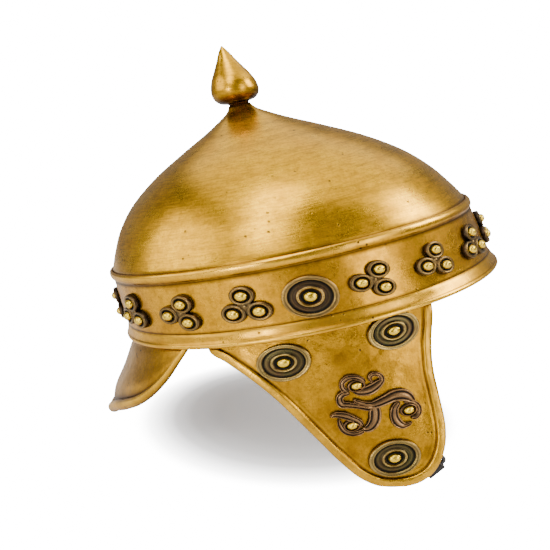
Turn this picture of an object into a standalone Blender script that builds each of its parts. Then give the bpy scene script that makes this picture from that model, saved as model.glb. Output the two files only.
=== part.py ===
# Onion-domed sheet-brass helmet with a brow band, a nape guard, two cheek
# guards, raised bronze ornaments and a fastened leather chin strap.
# Metres, +Z up, +X towards the wearer's face, +Y towards the wearer's left.
# The helmet stands by itself on its nape guard and on its two cheek guards,
# on the plane z = 0, with its box's bottom centre at the origin.
import math

import bmesh
import bpy
from mathutils import Matrix, Vector

# Stance: the rim's own plane is tipped up in front, and every brass piece is
# drawn in the rim's frame (u forward, v to the left, w up from the rim)
STANCE_PITCH = math.radians(11.8)
RIM_CENTRE_X = 0.0085
RIM_CENTRE_Z = 0.0868
LEAN_BACK = 0.156          # how far the sections move back for each metre up

# Sheet and clearances
SHEET = 0.0013
GAP = 0.0003               # between pieces that touch
SEAT_GAP = 0.00035         # between an ornament and the faceted sheet under it
STRIP_GAP = 0.00045        # between the band and the guards' strips inside it
STRAP_GAP = 0.0006         # between the guards' curved inner faces and the straps
ROUND_STEPS = 48

# Shell: full lengths front to back, and one width for all of them
RIM_LENGTH = 0.2516
RIM_WIDTH = 0.2164
CREASE_LENGTH = 0.2446
BAND_TOP_LENGTH = 0.2392
CREASE_HEIGHT = 0.0072
BAND_HEIGHT = 0.0302
BEAD_HEIGHT = 0.0064
BEAD_DEPTH = 0.0027
ROLL_HEIGHT = 0.0034
CROWN_HEIGHT = 0.0864
CROWN_OVERLAP = 0.0240     # how far the crown runs down inside the band
NECK_RADIUS = 0.0070

FINIAL_HEIGHT = 0.0378
FINIAL_RADIUS = 0.0155
FINIAL_LEAN = 0.09
FINIAL_STEPS = 16

# Guards
STRIP_TOP = 0.0160         # the guards' fixing strips end here inside the band
NAPE_DROP = 0.0540
NAPE_FLARE = 0.0295
NAPE_HALF_ANGLE = math.radians(51)
NAPE_ROLL = 0.0042
CHEEK_LENGTH = 0.1300
CHEEK_DROP = 0.0952
CHEEK_SPLAY = 0.0080
CHEEK_FLATTENING = 0.9     # curve lost from the band down to the tip
CHEEK_ROLL_WIDTH = 0.0050
CHEEK_ROLL_HEIGHT = 0.0022
CHEEK_POINTS = 36

# Ornaments: widths along the surface, with one oval share for their heights
BAND_OVAL = 0.745
CHEEK_OVAL = 0.68
BAND_ORNAMENT_HEIGHT = 0.0195
TREFOIL_HEIGHT = 0.0203    # of a trefoil's middle above the rim
TREFOIL_REACH = 0.0082     # from a trefoil's middle to its studs
TREFOIL_RING = 0.0072
TREFOIL_RELIEF = 0.0052
TREFOIL_STEPS = 10
BAND_ROUNDEL_RADIUS = 0.0157
CHEEK_ROUNDEL_RADIUS = 0.0148
ROUNDEL_RELIEF = 0.0034
ROUNDEL_STEPS = 12
TRISKELE_SIZE = 0.0220
TRISKELE_RELIEF = 0.0022
TRISKELE_ARM = 0.0031      # half the width of an arm at its root
TRISKELE_STUD = 0.0034
TRISKELE_PLACE = (0.0233, -0.0471)

# Chin strap and its buckle
STRAP_WIDTH = 0.0130
STRAP_WALL = 0.0018
STRAP_FOLD = 0.0110        # how far each end is folded back behind its bar
BUCKLE_LENGTH = 0.0088
BUCKLE_BAR = 0.0022
BUCKLE_TURN = math.radians(48)
BUCKLE_PLACE = (0.361, 0.925)   # along and down as on the guard's outline
RIVET_RADIUS = 0.0032
RIVET_HEIGHT = 0.0016
RIVET_STEPS = 12

# Crown outline: height as a share of CROWN_HEIGHT, radius as a share of the
# crown's radius above the band
CROWN_OUTLINE = (
    # height, radius
    (1.00, 0.059),
    (0.93, 0.110),
    (0.84, 0.228),
    (0.73, 0.395),
    (0.59, 0.592),
    (0.43, 0.763),
    (0.27, 0.878),
    (0.12, 0.952),
    (0.00, 1.000),
)

# Finial outline: height as a share of FINIAL_HEIGHT, radius as a share of
# FINIAL_RADIUS
FINIAL_OUTLINE = (
    # height, radius
    (0.99, 0.07),
    (0.87, 0.24),
    (0.74, 0.40),
    (0.60, 0.61),
    (0.47, 0.81),
    (0.34, 0.95),
    (0.22, 1.00),
    (0.12, 0.93),
    (0.05, 0.74),
    (0.02, 0.42),
    (0.00, 0.41),
)

# Nape guard at the middle of the back: drop as a share of NAPE_DROP and
# flare as a share of NAPE_FLARE
NAPE_OUTLINE = (
    # drop, flare
    (0.04, 0.03),
    (0.18, 0.19),
    (0.43, 0.47),
    (0.69, 0.81),
    (0.88, 0.95),
)

# Nape guard around the back: angle as a share of NAPE_HALF_ANGLE, and the
# share of the drop and flare that is left there
NAPE_EDGE = (
    # angle, drop
    (0.00, 1.00),
    (0.08, 0.96),
    (0.18, 0.885),
    (0.34, 0.78),
    (0.51, 0.685),
    (0.66, 0.585),
    (0.78, 0.46),
    (0.88, 0.30),
    (0.95, 0.14),
    (1.00, 0.03),
)

# Cheek guard outline seen from its own side: along as a share of
# CHEEK_LENGTH, down as a share of CHEEK_DROP, from the back corner at the
# rim down to the tip and up the front edge, then the strip inside the band
CHEEK_OUTLINE = (
    # along, down
    (-0.477, 0.040),
    (-0.408, 0.112),
    (-0.323, 0.215),
    (-0.246, 0.330),
    (-0.180, 0.452),
    (-0.090, 0.636),
    (-0.025, 0.770),
    (0.050, 0.898),
    (0.130, 0.972),
    (0.215, 0.998),
    (0.300, 0.992),
    (0.374, 0.938),
    (0.427, 0.832),
    (0.450, 0.704),
    (0.450, 0.539),
    (0.448, 0.374),
    (0.463, 0.228),
    (0.491, 0.100),
    (0.501, 0.020),
    (0.490, -0.070),
    (0.476, -0.168),
    (0.250, -0.168),
    (0.000, -0.168),
    (-0.250, -0.168),
    (-0.452, -0.168),
    (-0.470, -0.070),
)

# Trefoils on one side of the band: place as a share of a quarter of the
# band's length from the side towards the front, turn of the top stud, and
# size as a share of the usual one
TREFOIL_PLACES = (
    # place, turn, size
    (-0.662, 8, 1.03),
    (-0.415, 25, 1.01),
    (-0.185, 2, 1.03),
    (0.217, 31, 0.95),
    (0.442, 16, 0.96),
    (0.668, 4, 1.00),
)
MIDDLE_TREFOILS = (
    # name, place, turn, size
    ("front", 0.910, 4, 1.04),
    ("back", -0.940, 25, 1.00),
)

# Turned outlines of the ornaments: radius share, relief share
TREFOIL_RINGS = ((0.00, 1.00), (0.36, 0.60), (0.86, 0.50), (1.00, 0.0))
ROUNDEL_RINGS = ((0.00, 1.00), (0.19, 0.42), (0.36, 0.40), (0.48, 0.68), (0.62, 0.36),
                 (0.85, 0.76), (1.00, 0.0))
SCROLL_STUD_RINGS = ((0.0, 1.3), (0.7, 0.9), (1.0, 0.3), (1.5, 0.3), (1.6, 0.0))

# A triskele arm's section: across as a share of its half width, up as a share
# of the relief
ARM_SECTION = ((-1.0, 0.0), (-0.6, 0.9), (0.6, 0.9), (1.0, 0.0))
BAND_ROUNDEL_PLACE = 0.015

# Roundels on a cheek guard: along and down as on the guard's outline, and
# size as a share of CHEEK_ROUNDEL_RADIUS
CHEEK_ROUNDELS = (
    # along, down, size
    (-0.166, 0.146, 1.03),
    (0.307, 0.102, 1.00),
    (0.209, 0.817, 1.00),
)

# Triskele in its own plane, as shares of TRISKELE_SIZE from its hub: along,
# up and the arm's width as a share of TRISKELE_ARM
TRISKELE_ARMS = (
    ((0.02, 0.00, 1.0), (-0.30, 0.10, 0.95), (-0.58, 0.22, 0.9), (-0.86, 0.36, 0.9),
     (-0.90, 0.56, 0.7), (-0.72, 0.76, 0.7), (-0.40, 0.84, 0.7), (-0.18, 0.66, 0.7),
     (0.00, 0.50, 0.6), (0.17, 0.58, 0.5), (0.14, 0.76, 0.4)),
    ((-0.02, 0.00, 1.0), (0.20, 0.11, 0.95), (0.42, 0.22, 0.9), (0.66, 0.22, 0.9),
     (0.86, 0.08, 0.8), (0.97, -0.14, 0.6), (0.98, -0.36, 0.5), (0.86, -0.52, 0.4)),
    ((0.74, 0.18, 0.5), (0.54, -0.02, 0.7), (0.38, -0.22, 0.7), (0.36, -0.44, 0.6),
     (0.52, -0.66, 0.3)),
    ((0.00, 0.04, 1.0), (-0.03, -0.20, 0.95), (-0.08, -0.42, 0.9), (-0.26, -0.56, 0.8),
     (-0.50, -0.60, 0.7), (-0.78, -0.60, 0.6), (-0.98, -0.42, 0.4)),
    ((-0.20, -0.48, 0.5), (-0.36, -0.22, 0.7), (-0.60, -0.08, 0.7), (-0.84, -0.02, 0.6),
     (-1.16, -0.10, 0.2)),
)
TRISKELE_STUDS = ((-0.41, 0.60), (0.75, -0.30), (-0.70, -0.36))

# Chin strap on a guard's inner face, along and down as on its outline
STRAP_RIVET = (0.266, 0.700)
STRAP_ON_GUARD = (
    # along, down
    (0.244, 0.655),
    (0.266, 0.700),
    (0.299, 0.772),
    (0.322, 0.820),
)

# Chin strap from the buckle to the left guard: across as a share of the way
# between them, height as a share of the nearer end's height, how far it is
# turned up from lying flat as a share of a half turn, and how far it swings
# forward as a share of STRAP_WIDTH
STRAP_ROUTE = (
    # across, height, turned up, forward
    (0.03, 0.93, 0.25, 0.00),
    (0.07, 0.70, 0.21, 0.00),
    (0.12, 0.34, 0.12, 0.00),
    (0.17, 0.08, 0.03, 0.00),
    (0.24, 0.00, 0.00, 0.00),
    (0.36, 0.00, 0.00, 0.05),
    (0.50, 0.00, 0.00, 0.10),
    (0.64, 0.00, 0.00, 0.20),
    (0.76, 0.00, 0.00, 0.35),
    (0.84, 0.03, 0.02, 0.50),
    (0.90, 0.13, 0.10, 0.60),
    (0.95, 0.32, 0.18, 0.55),
    (0.985, 0.62, 0.24, 0.30),
)

BRASS = (0.78, 0.52, 0.18, 1.0)
BRONZE = (0.13, 0.10, 0.08, 1.0)
LEATHER = (0.02, 0.018, 0.016, 1.0)
BLACK_METAL = (0.015, 0.015, 0.017, 1.0)

OVAL = RIM_WIDTH / RIM_LENGTH
CREASE = CREASE_LENGTH / 2
BAND_TOP = BAND_TOP_LENGTH / 2
GROOVE_HEIGHT = CREASE_HEIGHT + BAND_HEIGHT
CONE = (CREASE - BAND_TOP) / BAND_HEIGHT
CROWN_FOOT = BAND_TOP - SHEET - GAP
CROWN_BASE = GROOVE_HEIGHT + BEAD_HEIGHT
STRIP_HALF = CREASE - SHEET - STRIP_GAP
# from the guard's outer face to the buckle's middle, behind one turn of strap
BUCKLE_INSET = SHEET + STRAP_GAP * 2 + STRAP_WALL + GAP + BUCKLE_BAR / 2


def clear_scene():
    for obj in list(bpy.data.objects):
        bpy.data.objects.remove(obj, do_unlink=True)


def make_material(name, colour, roughness, metallic):
    material = bpy.data.materials.new(name)
    material.use_nodes = True
    shader = material.node_tree.nodes["Principled BSDF"]
    shader.inputs["Base Color"].default_value = colour
    shader.inputs["Roughness"].default_value = roughness
    shader.inputs["Metallic"].default_value = metallic
    return material


def add_object(name, mesh, material, parent=None):
    # every piece keeps its own material and lies in the helmet's collection
    obj = bpy.data.objects.new(name, mesh)
    mesh.name = name
    mesh.materials.clear()
    mesh.materials.append(material)
    mesh.shade_smooth()
    mesh.set_sharp_from_angle(angle=math.radians(35))
    bpy.data.collections["helmet"].objects.link(obj)
    obj.parent = parent
    return obj


def mesh_from(vertices, faces):
    mesh = bpy.data.meshes.new("piece")
    mesh.from_pydata([tuple(v) for v in vertices], [], faces)
    mesh.update()
    return mesh


def evaluated_mesh(obj):
    # the mesh with its modifiers applied; the object it came from is removed
    depsgraph = bpy.context.evaluated_depsgraph_get()
    mesh = bpy.data.meshes.new_from_object(obj.evaluated_get(depsgraph))
    bpy.data.objects.remove(obj, do_unlink=True)
    return mesh


def turned(profile, steps, closed=False):
    # profile: (radius, height) down the outer side, then up the inner side
    edges = [(i, i + 1) for i in range(len(profile) - 1)]
    if closed:
        edges.append((len(profile) - 1, 0))
    mesh = bpy.data.meshes.new("profile")
    mesh.from_pydata([(r, 0.0, h) for r, h in profile], edges, [])
    obj = bpy.data.objects.new("profile", mesh)
    bpy.context.scene.collection.objects.link(obj)
    screw = obj.modifiers.new("turn", "SCREW")
    screw.axis = "Z"
    screw.angle = 2 * math.pi
    screw.steps = steps
    screw.render_steps = steps
    screw.use_merge_vertices = True
    screw.merge_threshold = 0.00001
    return evaluated_mesh(obj)


def loft(sections):
    # closed body through sections with the same number of points each
    count = len(sections[0])
    vertices = [p for section in sections for p in section]
    faces = []
    for i in range(len(sections) - 1):
        for j in range(count):
            k = (j + 1) % count
            faces.append((i * count + j, i * count + k, (i + 1) * count + k, (i + 1) * count + j))
    last = (len(sections) - 1) * count
    faces.append(tuple(range(count - 1, -1, -1)))
    faces.append(tuple(range(last, last + count)))
    return mesh_from(vertices, faces)


def joined(meshes):
    # Boolean union of closed meshes, the first one carrying the others
    cutters = bpy.data.collections["cutters"]
    base = bpy.data.objects.new("union", meshes[0])
    bpy.context.scene.collection.objects.link(base)
    tools = []
    for mesh in meshes[1:]:
        tool = bpy.data.objects.new("tool", mesh)
        tool.hide_render = True
        tool.display_type = "WIRE"
        cutters.objects.link(tool)
        tools.append(tool)
        union = base.modifiers.new("join", "BOOLEAN")
        union.operation = "UNION"
        union.object = tool
    mesh = evaluated_mesh(base)
    for tool in tools:
        bpy.data.objects.remove(tool, do_unlink=True)
    return mesh


def outward(mesh):
    # faces point out of the closed body
    work = bmesh.new()
    work.from_mesh(mesh)
    bmesh.ops.remove_doubles(work, verts=work.verts, dist=0.000001)
    bmesh.ops.recalc_face_normals(work, faces=work.faces)
    work.to_mesh(mesh)
    work.free()
    return mesh


def mirrored(obj, name, parent):
    # the same piece on the wearer's other side
    mesh = obj.data.copy()
    mesh.transform(Matrix.Diagonal((1, -1, 1, 1)))
    mesh.flip_normals()
    return add_object(name, mesh, obj.data.materials[0], parent)


def smooth_closed(points, count):
    # count points evenly spread on a closed smooth curve through the points
    fine = []
    total = len(points)
    for i in range(total):
        a, b, c, d = (points[(i + k - 1) % total] for k in range(4))
        for step in range(8):
            fine.append(catmull(a, b, c, d, step / 8))
    return spread(fine + [fine[0]], count + 1)[:-1]


def smooth_open(points, count):
    fine = []
    for i in range(len(points) - 1):
        a = points[max(i - 1, 0)]
        b, c = points[i], points[i + 1]
        d = points[min(i + 2, len(points) - 1)]
        for step in range(8):
            fine.append(catmull(a, b, c, d, step / 8))
    return spread(fine + [points[-1]], count)


def catmull(a, b, c, d, t):
    return 0.5 * (2 * b + (c - a) * t + (2 * a - 5 * b + 4 * c - d) * t ** 2
                  + (3 * b - 3 * c + d - a) * t ** 3)


def spread(line, count):
    lengths = [0.0]
    for i in range(1, len(line)):
        lengths.append(lengths[-1] + (line[i] - line[i - 1]).length)
    result = []
    at = 0
    for k in range(count):
        want = lengths[-1] * k / (count - 1)
        while at < len(line) - 2 and lengths[at + 1] < want:
            at += 1
        span = lengths[at + 1] - lengths[at]
        result.append(line[at].lerp(line[at + 1], (want - lengths[at]) / span if span else 0.0))
    return result


def between(table, x):
    # value at x on a table of (x, value) rows
    for (x0, y0), (x1, y1) in zip(table, table[1:]):
        if x <= x1:
            return y0 + (y1 - y0) * (x - x0) / (x1 - x0)
    return table[-1][1]


# The oval, leaning shell
def shell_matrix():
    return Matrix(((1, 0, -LEAN_BACK, 0), (0, OVAL, 0, 0), (0, 0, 1, 0), (0, 0, 0, 1)))


def oval_point(angle, height, half_length):
    # angle from the wearer's right side towards the front
    return Vector((half_length * math.sin(angle) - LEAN_BACK * max(height, 0.0),
                   -half_length * OVAL * math.cos(angle), height))


def quarter_turns(steps=180):
    # (length along the band, angle) from the side to the front
    rows = [(0.0, 0.0)]
    for i in range(1, steps + 1):
        a0, a1 = (math.pi / 2 * k / steps for k in (i - 1, i))
        step = oval_point(a1, 0, CREASE) - oval_point(a0, 0, CREASE)
        rows.append((rows[-1][0] + step.length, a1))
    return rows


QUARTER = quarter_turns()
QUARTER_LENGTH = QUARTER[-1][0]


def on_band(along, height):
    # point of the band's outer face; along is measured from the right side
    angle = math.copysign(between(QUARTER, min(abs(along), QUARTER_LENGTH)), along)
    angle += math.copysign(max(abs(along) - QUARTER_LENGTH, 0) / (CREASE * OVAL), along)
    return oval_point(angle, height, CREASE - CONE * (height - CREASE_HEIGHT))


def on_guard(along, height):
    # point of the right cheek guard's outer face
    half = STRIP_HALF - CONE * max(height - CREASE_HEIGHT, 0)
    share = (along + LEAN_BACK * max(height, 0)) / half
    down = max(-height, 0) / CHEEK_DROP
    curve = math.sqrt(1 - share ** 2 * (1 - CHEEK_FLATTENING * down))
    return Vector((along, -half * OVAL * curve - CHEEK_SPLAY * down, height))


def raised(surface, along, height, out):
    # the surface's point moved out along its normal
    step = 0.0005
    across = surface(along + step, height) - surface(along - step, height)
    up = surface(along, height + step) - surface(along, height - step)
    return surface(along, height) + across.cross(up).normalized() * out


def wrapped(mesh, surface, place, lift=SEAT_GAP):
    # lays a flat ornament (x along, y up, z out) on a surface
    for vertex in mesh.vertices:
        x, y, z = vertex.co
        vertex.co = raised(surface, place[0] + x, place[1] + y, lift + z)
    mesh.update()
    return mesh


def build_crown(brass, stance):
    outer = [(CROWN_FOOT * r, CROWN_BASE + CROWN_HEIGHT * h) for h, r in CROWN_OUTLINE]
    foot = CROWN_BASE - CROWN_OVERLAP
    outer.append((CROWN_FOOT, GROOVE_HEIGHT))
    outer.append((CROWN_FOOT + CONE * (GROOVE_HEIGHT - foot), foot))
    inner = [(outer[-1][0] - SHEET, foot), (CROWN_FOOT - SHEET, GROOVE_HEIGHT)]
    inner += [(r - SHEET, h - SHEET * (1 - r / CROWN_FOOT)) for r, h in reversed(outer[3:-4])]
    crown_top = outer[0][1]
    profile = [(0.0, crown_top)] + outer + inner + [(0.0, inner[-1][1] + NECK_RADIUS)]
    mesh = turned(profile, ROUND_STEPS)
    mesh.transform(shell_matrix())
    return add_object("crown", outward(mesh), brass, stance)


def build_finial(brass, stance):
    foot = CROWN_BASE + CROWN_HEIGHT + GAP
    profile = [(0.0, FINIAL_HEIGHT)]
    profile += [(FINIAL_RADIUS * r, FINIAL_HEIGHT * h) for h, r in FINIAL_OUTLINE]
    profile.append((0.0, 0.0))
    mesh = turned(profile, FINIAL_STEPS)
    lean = Matrix(((1, 0, -FINIAL_LEAN, 0), (0, 1, 0, 0), (0, 0, 1, 0), (0, 0, 0, 1)))
    mesh.transform(Matrix.Translation((-LEAN_BACK * foot, 0, foot)) @ lean)
    return add_object("finial", outward(mesh), brass, stance)


def build_brow_band(brass, stance):
    # bead, groove, face, flare and rolled lower edge, then the inner face
    rim = RIM_LENGTH / 2
    inside = BAND_TOP - SHEET
    top = GROOVE_HEIGHT + BEAD_HEIGHT
    profile = [
        (inside + BEAD_DEPTH * 0.20, top),
        (inside + BEAD_DEPTH * 0.80, top - BEAD_HEIGHT * 0.15),
        (inside + BEAD_DEPTH, top - BEAD_HEIGHT * 0.50),
        (inside + BEAD_DEPTH * 0.85, top - BEAD_HEIGHT * 0.80),
        (BAND_TOP, GROOVE_HEIGHT),
        (CREASE, CREASE_HEIGHT),
        (rim - ROLL_HEIGHT * 0.55, ROLL_HEIGHT * 0.75),
        (rim - ROLL_HEIGHT * 0.10, ROLL_HEIGHT * 0.45),
        (rim, 0.0),
        (rim - ROLL_HEIGHT * 0.25, -ROLL_HEIGHT * 0.30),
        (rim - ROLL_HEIGHT * 0.65, -ROLL_HEIGHT * 0.15),
        (CREASE - SHEET, CREASE_HEIGHT + SHEET),
        (BAND_TOP - SHEET, GROOVE_HEIGHT),
    ]
    mesh = turned(profile, ROUND_STEPS, closed=True)
    mesh.transform(shell_matrix())
    return add_object("brow_band", outward(mesh), brass, stance)


def nape_section(turn):
    # one cut through the nape guard, turn in radians from the back's middle
    share = between(NAPE_EDGE, abs(turn) / NAPE_HALF_ANGLE)
    angle = turn - math.pi / 2
    top_half = STRIP_HALF - CONE * (STRIP_TOP - CREASE_HEIGHT)
    line = [(top_half, STRIP_TOP), (STRIP_HALF, CREASE_HEIGHT)]
    line += [(STRIP_HALF + NAPE_FLARE * f * share, -NAPE_DROP * d * share)
             for d, f in NAPE_OUTLINE]
    roll = NAPE_ROLL * (0.45 + 0.55 * share)
    centre = (STRIP_HALF + NAPE_FLARE * share, -NAPE_DROP * share)
    outer = [oval_point(angle, h, r) for r, h in line]
    inner = [oval_point(angle, h - SHEET * 0.3, r - SHEET) for r, h in reversed(line)]
    arc = [math.radians(a) for a in (70, 15, -40, -95, -150)]
    edge = [oval_point(angle, centre[1] + roll * math.sin(a), centre[0] + roll * math.cos(a))
            for a in arc]
    return outer + edge + inner


def build_nape_guard(brass, stance):
    shares = [row[0] for row in NAPE_EDGE]
    turns = [-NAPE_HALF_ANGLE * s for s in reversed(shares)] + [NAPE_HALF_ANGLE * s for s in shares[1:]]
    mesh = loft([nape_section(turn) for turn in turns])
    obj = add_object("nape_guard", outward(mesh), brass, stance)
    wear_flat(obj, stance)
    return obj


def build_cheek_guard(brass, stance):
    corners = [Vector((CHEEK_LENGTH * a, -CHEEK_DROP * d, 0)) for a, d in CHEEK_OUTLINE]
    outline = smooth_closed(corners, CHEEK_POINTS)
    middle = Vector((CHEEK_LENGTH * 0.14, -CHEEK_DROP * 0.35, 0))
    # inset as a share of the roll's width, lift as a share of its height
    edge = ((1.0, 0.0), (0.75, 0.85), (0.35, 1.0), (0.05, 0.6))
    rings = []
    for share in (0.25, 0.5, 0.75):
        rings.append([guard_ring_point(outline, i, 1.0, 0.0, middle, share) for i in range(CHEEK_POINTS)])
    for inset, lift in edge:
        rings.append([guard_ring_point(outline, i, inset, lift) for i in range(CHEEK_POINTS)])
    for share in (1.0, 0.55):
        rings.append([guard_ring_point(outline, i, 0.15, None, middle, share) for i in range(CHEEK_POINTS)])
    front = raised(on_guard, middle.x, middle.y, 0.0)
    back = raised(on_guard, middle.x, middle.y, -SHEET)
    mesh = mesh_from(*closed_rings(front, rings, back))
    obj = add_object("cheek_guard_right", outward(mesh), brass, stance)
    wear_flat(obj, stance)
    return obj


def guard_ring_point(outline, index, inset, lift, middle=None, share=1.0):
    # lift None is the guard's inner face
    point = outline[index]
    step = outline[(index + 1) % len(outline)] - outline[index - 1]
    inward = Vector((-step.y, step.x, 0)).normalized()
    moved = point + inward * CHEEK_ROLL_WIDTH * inset
    if middle is not None:
        moved = middle.lerp(moved, share)
    rolled = min(max(-point.y / CREASE_HEIGHT, 0.0), 1.0)
    out = -SHEET if lift is None else CHEEK_ROLL_HEIGHT * lift * rolled
    return raised(on_guard, moved.x, moved.y, out)


def closed_rings(front, rings, back):
    # a body from a middle point, rings around it and a middle point behind
    count = len(rings[0])
    vertices = [front] + [p for ring in rings for p in ring] + [back]
    faces = []
    for j in range(count):
        k = (j + 1) % count
        faces.append((0, 1 + j, 1 + k))
        for i in range(len(rings) - 1):
            a, b = 1 + i * count, 1 + (i + 1) * count
            faces.append((a + j, b + j, b + k, a + k))
        last = 1 + (len(rings) - 1) * count
        faces.append((len(vertices) - 1, last + k, last + j))
    return vertices, faces


def wear_flat(obj, stance):
    # the edge that stands on z = 0 is worn to a small flat there
    to_world = stance.matrix_basis
    to_local = to_world.inverted()
    normal = to_world.to_3x3().transposed() @ Vector((0, 0, 1))
    work = bmesh.new()
    work.from_mesh(obj.data)
    everything = work.verts[:] + work.edges[:] + work.faces[:]
    cut = bmesh.ops.bisect_plane(work, geom=everything, dist=0.000001, plane_co=to_local @ Vector((0, 0, 0)),
                                 plane_no=normal, clear_inner=True)
    rim = [e for e in cut["geom_cut"] if isinstance(e, bmesh.types.BMEdge)]
    bmesh.ops.holes_fill(work, edges=rim, sides=0)
    bmesh.ops.recalc_face_normals(work, faces=work.faces)
    work.to_mesh(obj.data)
    work.free()


def flat_roundel(radius, relief, oval, steps, rings):
    # a turned disc with its studs and ridges, flat on z = 0
    profile = [(radius * r, relief * h) for r, h in rings] + [(0.0, 0.0)]
    mesh = turned(profile, steps)
    mesh.transform(Matrix.Diagonal((1, oval, 1, 1)))
    return mesh


def trefoil_mesh(turn, size):
    discs = []
    for k in range(3):
        direction = turn + math.radians(120) * k
        disc = flat_roundel(TREFOIL_RING, TREFOIL_RELIEF, BAND_OVAL, TREFOIL_STEPS, TREFOIL_RINGS)
        disc.transform(Matrix.Translation((TREFOIL_REACH * math.sin(direction),
                                           TREFOIL_REACH * BAND_OVAL * math.cos(direction), 0)))
        discs.append(outward(disc))
    web = turned([(0.0, TREFOIL_RELIEF * 0.4), (TREFOIL_REACH * 0.62, TREFOIL_RELIEF * 0.3),
                  (TREFOIL_REACH * 0.62, 0.0), (0.0, 0.0)], 3)
    web.transform(Matrix.Diagonal((1, BAND_OVAL, 1, 1)))
    mesh = joined([outward(web)] + discs)
    mesh.transform(Matrix.Diagonal((size, size, 1, 1)))
    return mesh


def trefoil_on_band(place, turn, size):
    flat = trefoil_mesh(math.radians(turn), size)
    return outward(wrapped(flat, on_band, (place * QUARTER_LENGTH, TREFOIL_HEIGHT)))


def build_trefoils(bronze, stance):
    for number, (place, turn, size) in enumerate(TREFOIL_PLACES, 1):
        obj = add_object(f"trefoil_right_{number}", trefoil_on_band(place, turn, size), bronze, stance)
        mirrored(obj, f"trefoil_left_{number}", stance)
    for name, place, turn, size in MIDDLE_TREFOILS:
        add_object(f"trefoil_{name}", trefoil_on_band(place, turn, size), bronze, stance)


def build_roundels(bronze, stance):
    disc = flat_roundel(BAND_ROUNDEL_RADIUS, ROUNDEL_RELIEF, BAND_OVAL, ROUNDEL_STEPS, ROUNDEL_RINGS)
    place = (BAND_ROUNDEL_PLACE * QUARTER_LENGTH, BAND_ORNAMENT_HEIGHT)
    obj = add_object("band_roundel_right", outward(wrapped(disc, on_band, place)), bronze, stance)
    mirrored(obj, "band_roundel_left", stance)
    for number, (along, down, size) in enumerate(CHEEK_ROUNDELS, 1):
        radius = CHEEK_ROUNDEL_RADIUS * size
        disc = flat_roundel(radius, ROUNDEL_RELIEF, CHEEK_OVAL, ROUNDEL_STEPS, ROUNDEL_RINGS)
        place = (CHEEK_LENGTH * along, -CHEEK_DROP * down)
        mesh = outward(wrapped(disc, on_guard, place))
        obj = add_object(f"cheek_roundel_right_{number}", mesh, bronze, stance)
        mirrored(obj, f"cheek_roundel_left_{number}", stance)


def triskele_arm(points):
    line = [Vector((a * TRISKELE_SIZE, u * TRISKELE_SIZE, 0)) for a, u, _ in points]
    sections = []
    for i, point in enumerate(line):
        ahead = line[min(i + 1, len(line) - 1)] - line[max(i - 1, 0)]
        side = Vector((ahead.y, -ahead.x, 0)).normalized()
        half = TRISKELE_ARM * points[i][2]
        up = Vector((0, 0, TRISKELE_RELIEF))
        sections.append([point + side * half * x + up * z for x, z in ARM_SECTION])
    return outward(loft(sections))


def build_triskele(bronze, stance):
    parts = [triskele_arm(arm) for arm in TRISKELE_ARMS]
    for along, up in TRISKELE_STUDS:
        stud = flat_roundel(TRISKELE_STUD, TRISKELE_RELIEF, CHEEK_OVAL, TREFOIL_STEPS, SCROLL_STUD_RINGS)
        stud.transform(Matrix.Translation((along * TRISKELE_SIZE, up * TRISKELE_SIZE, 0)))
        parts.append(outward(stud))
    mesh = wrapped(joined(parts), on_guard, TRISKELE_PLACE)
    obj = add_object("triskele_right", outward(mesh), bronze, stance)
    mirrored(obj, "triskele_left", stance)


def ribbon(line, widths):
    # a leather strap along a line, with the direction of its width at each point
    sections = []
    for i, point in enumerate(line):
        ahead = (line[min(i + 1, len(line) - 1)] - line[max(i - 1, 0)]).normalized()
        across = (widths[i] - ahead * widths[i].dot(ahead)).normalized()
        up = ahead.cross(across)
        half = (across * STRAP_WIDTH / 2, up * STRAP_WALL / 2)
        sections.append([point + half[0] + half[1], point - half[0] + half[1],
                         point - half[0] - half[1], point + half[0] - half[1]])
    return outward(loft(sections))


def strap_on_guard(stance, side, across):
    # centre line and width directions of the strap along a guard's inner face
    lift = -SHEET - STRAP_GAP - STRAP_WALL / 2
    points = []
    widths = []
    for along, down in STRAP_ON_GUARD:
        pair = [raised(on_guard, CHEEK_LENGTH * along, -CHEEK_DROP * down, out) for out in (0.0, lift)]
        face, point = [stance.matrix_basis @ Vector((p.x, p.y * side, p.z)) for p in pair]
        points.append(point)
        normal = (face - point).normalized()
        widths.append(across - normal * across.dot(normal))
    return points, widths


def buckle_axes():
    # along the strap, across it, and towards the wearer's left
    along = Vector((math.cos(BUCKLE_TURN), 0, -math.sin(BUCKLE_TURN)))
    across = Vector((-math.sin(BUCKLE_TURN), 0, -math.cos(BUCKLE_TURN)))
    return along, across, Vector((0, 1, 0))


def buckle_centre(stance):
    along, down = BUCKLE_PLACE
    return stance.matrix_basis @ raised(on_guard, CHEEK_LENGTH * along, -CHEEK_DROP * down, -BUCKLE_INSET)


def fold(bar, start, through, steps=4):
    # half a turn of strap around a bar, from one side of it to the other
    radius = BUCKLE_BAR / 2 + GAP + STRAP_WALL / 2
    turns = [math.pi * k / steps for k in range(steps + 1)]
    return [bar + (start * math.cos(t) + through * math.sin(t)) * radius for t in turns]


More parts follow.
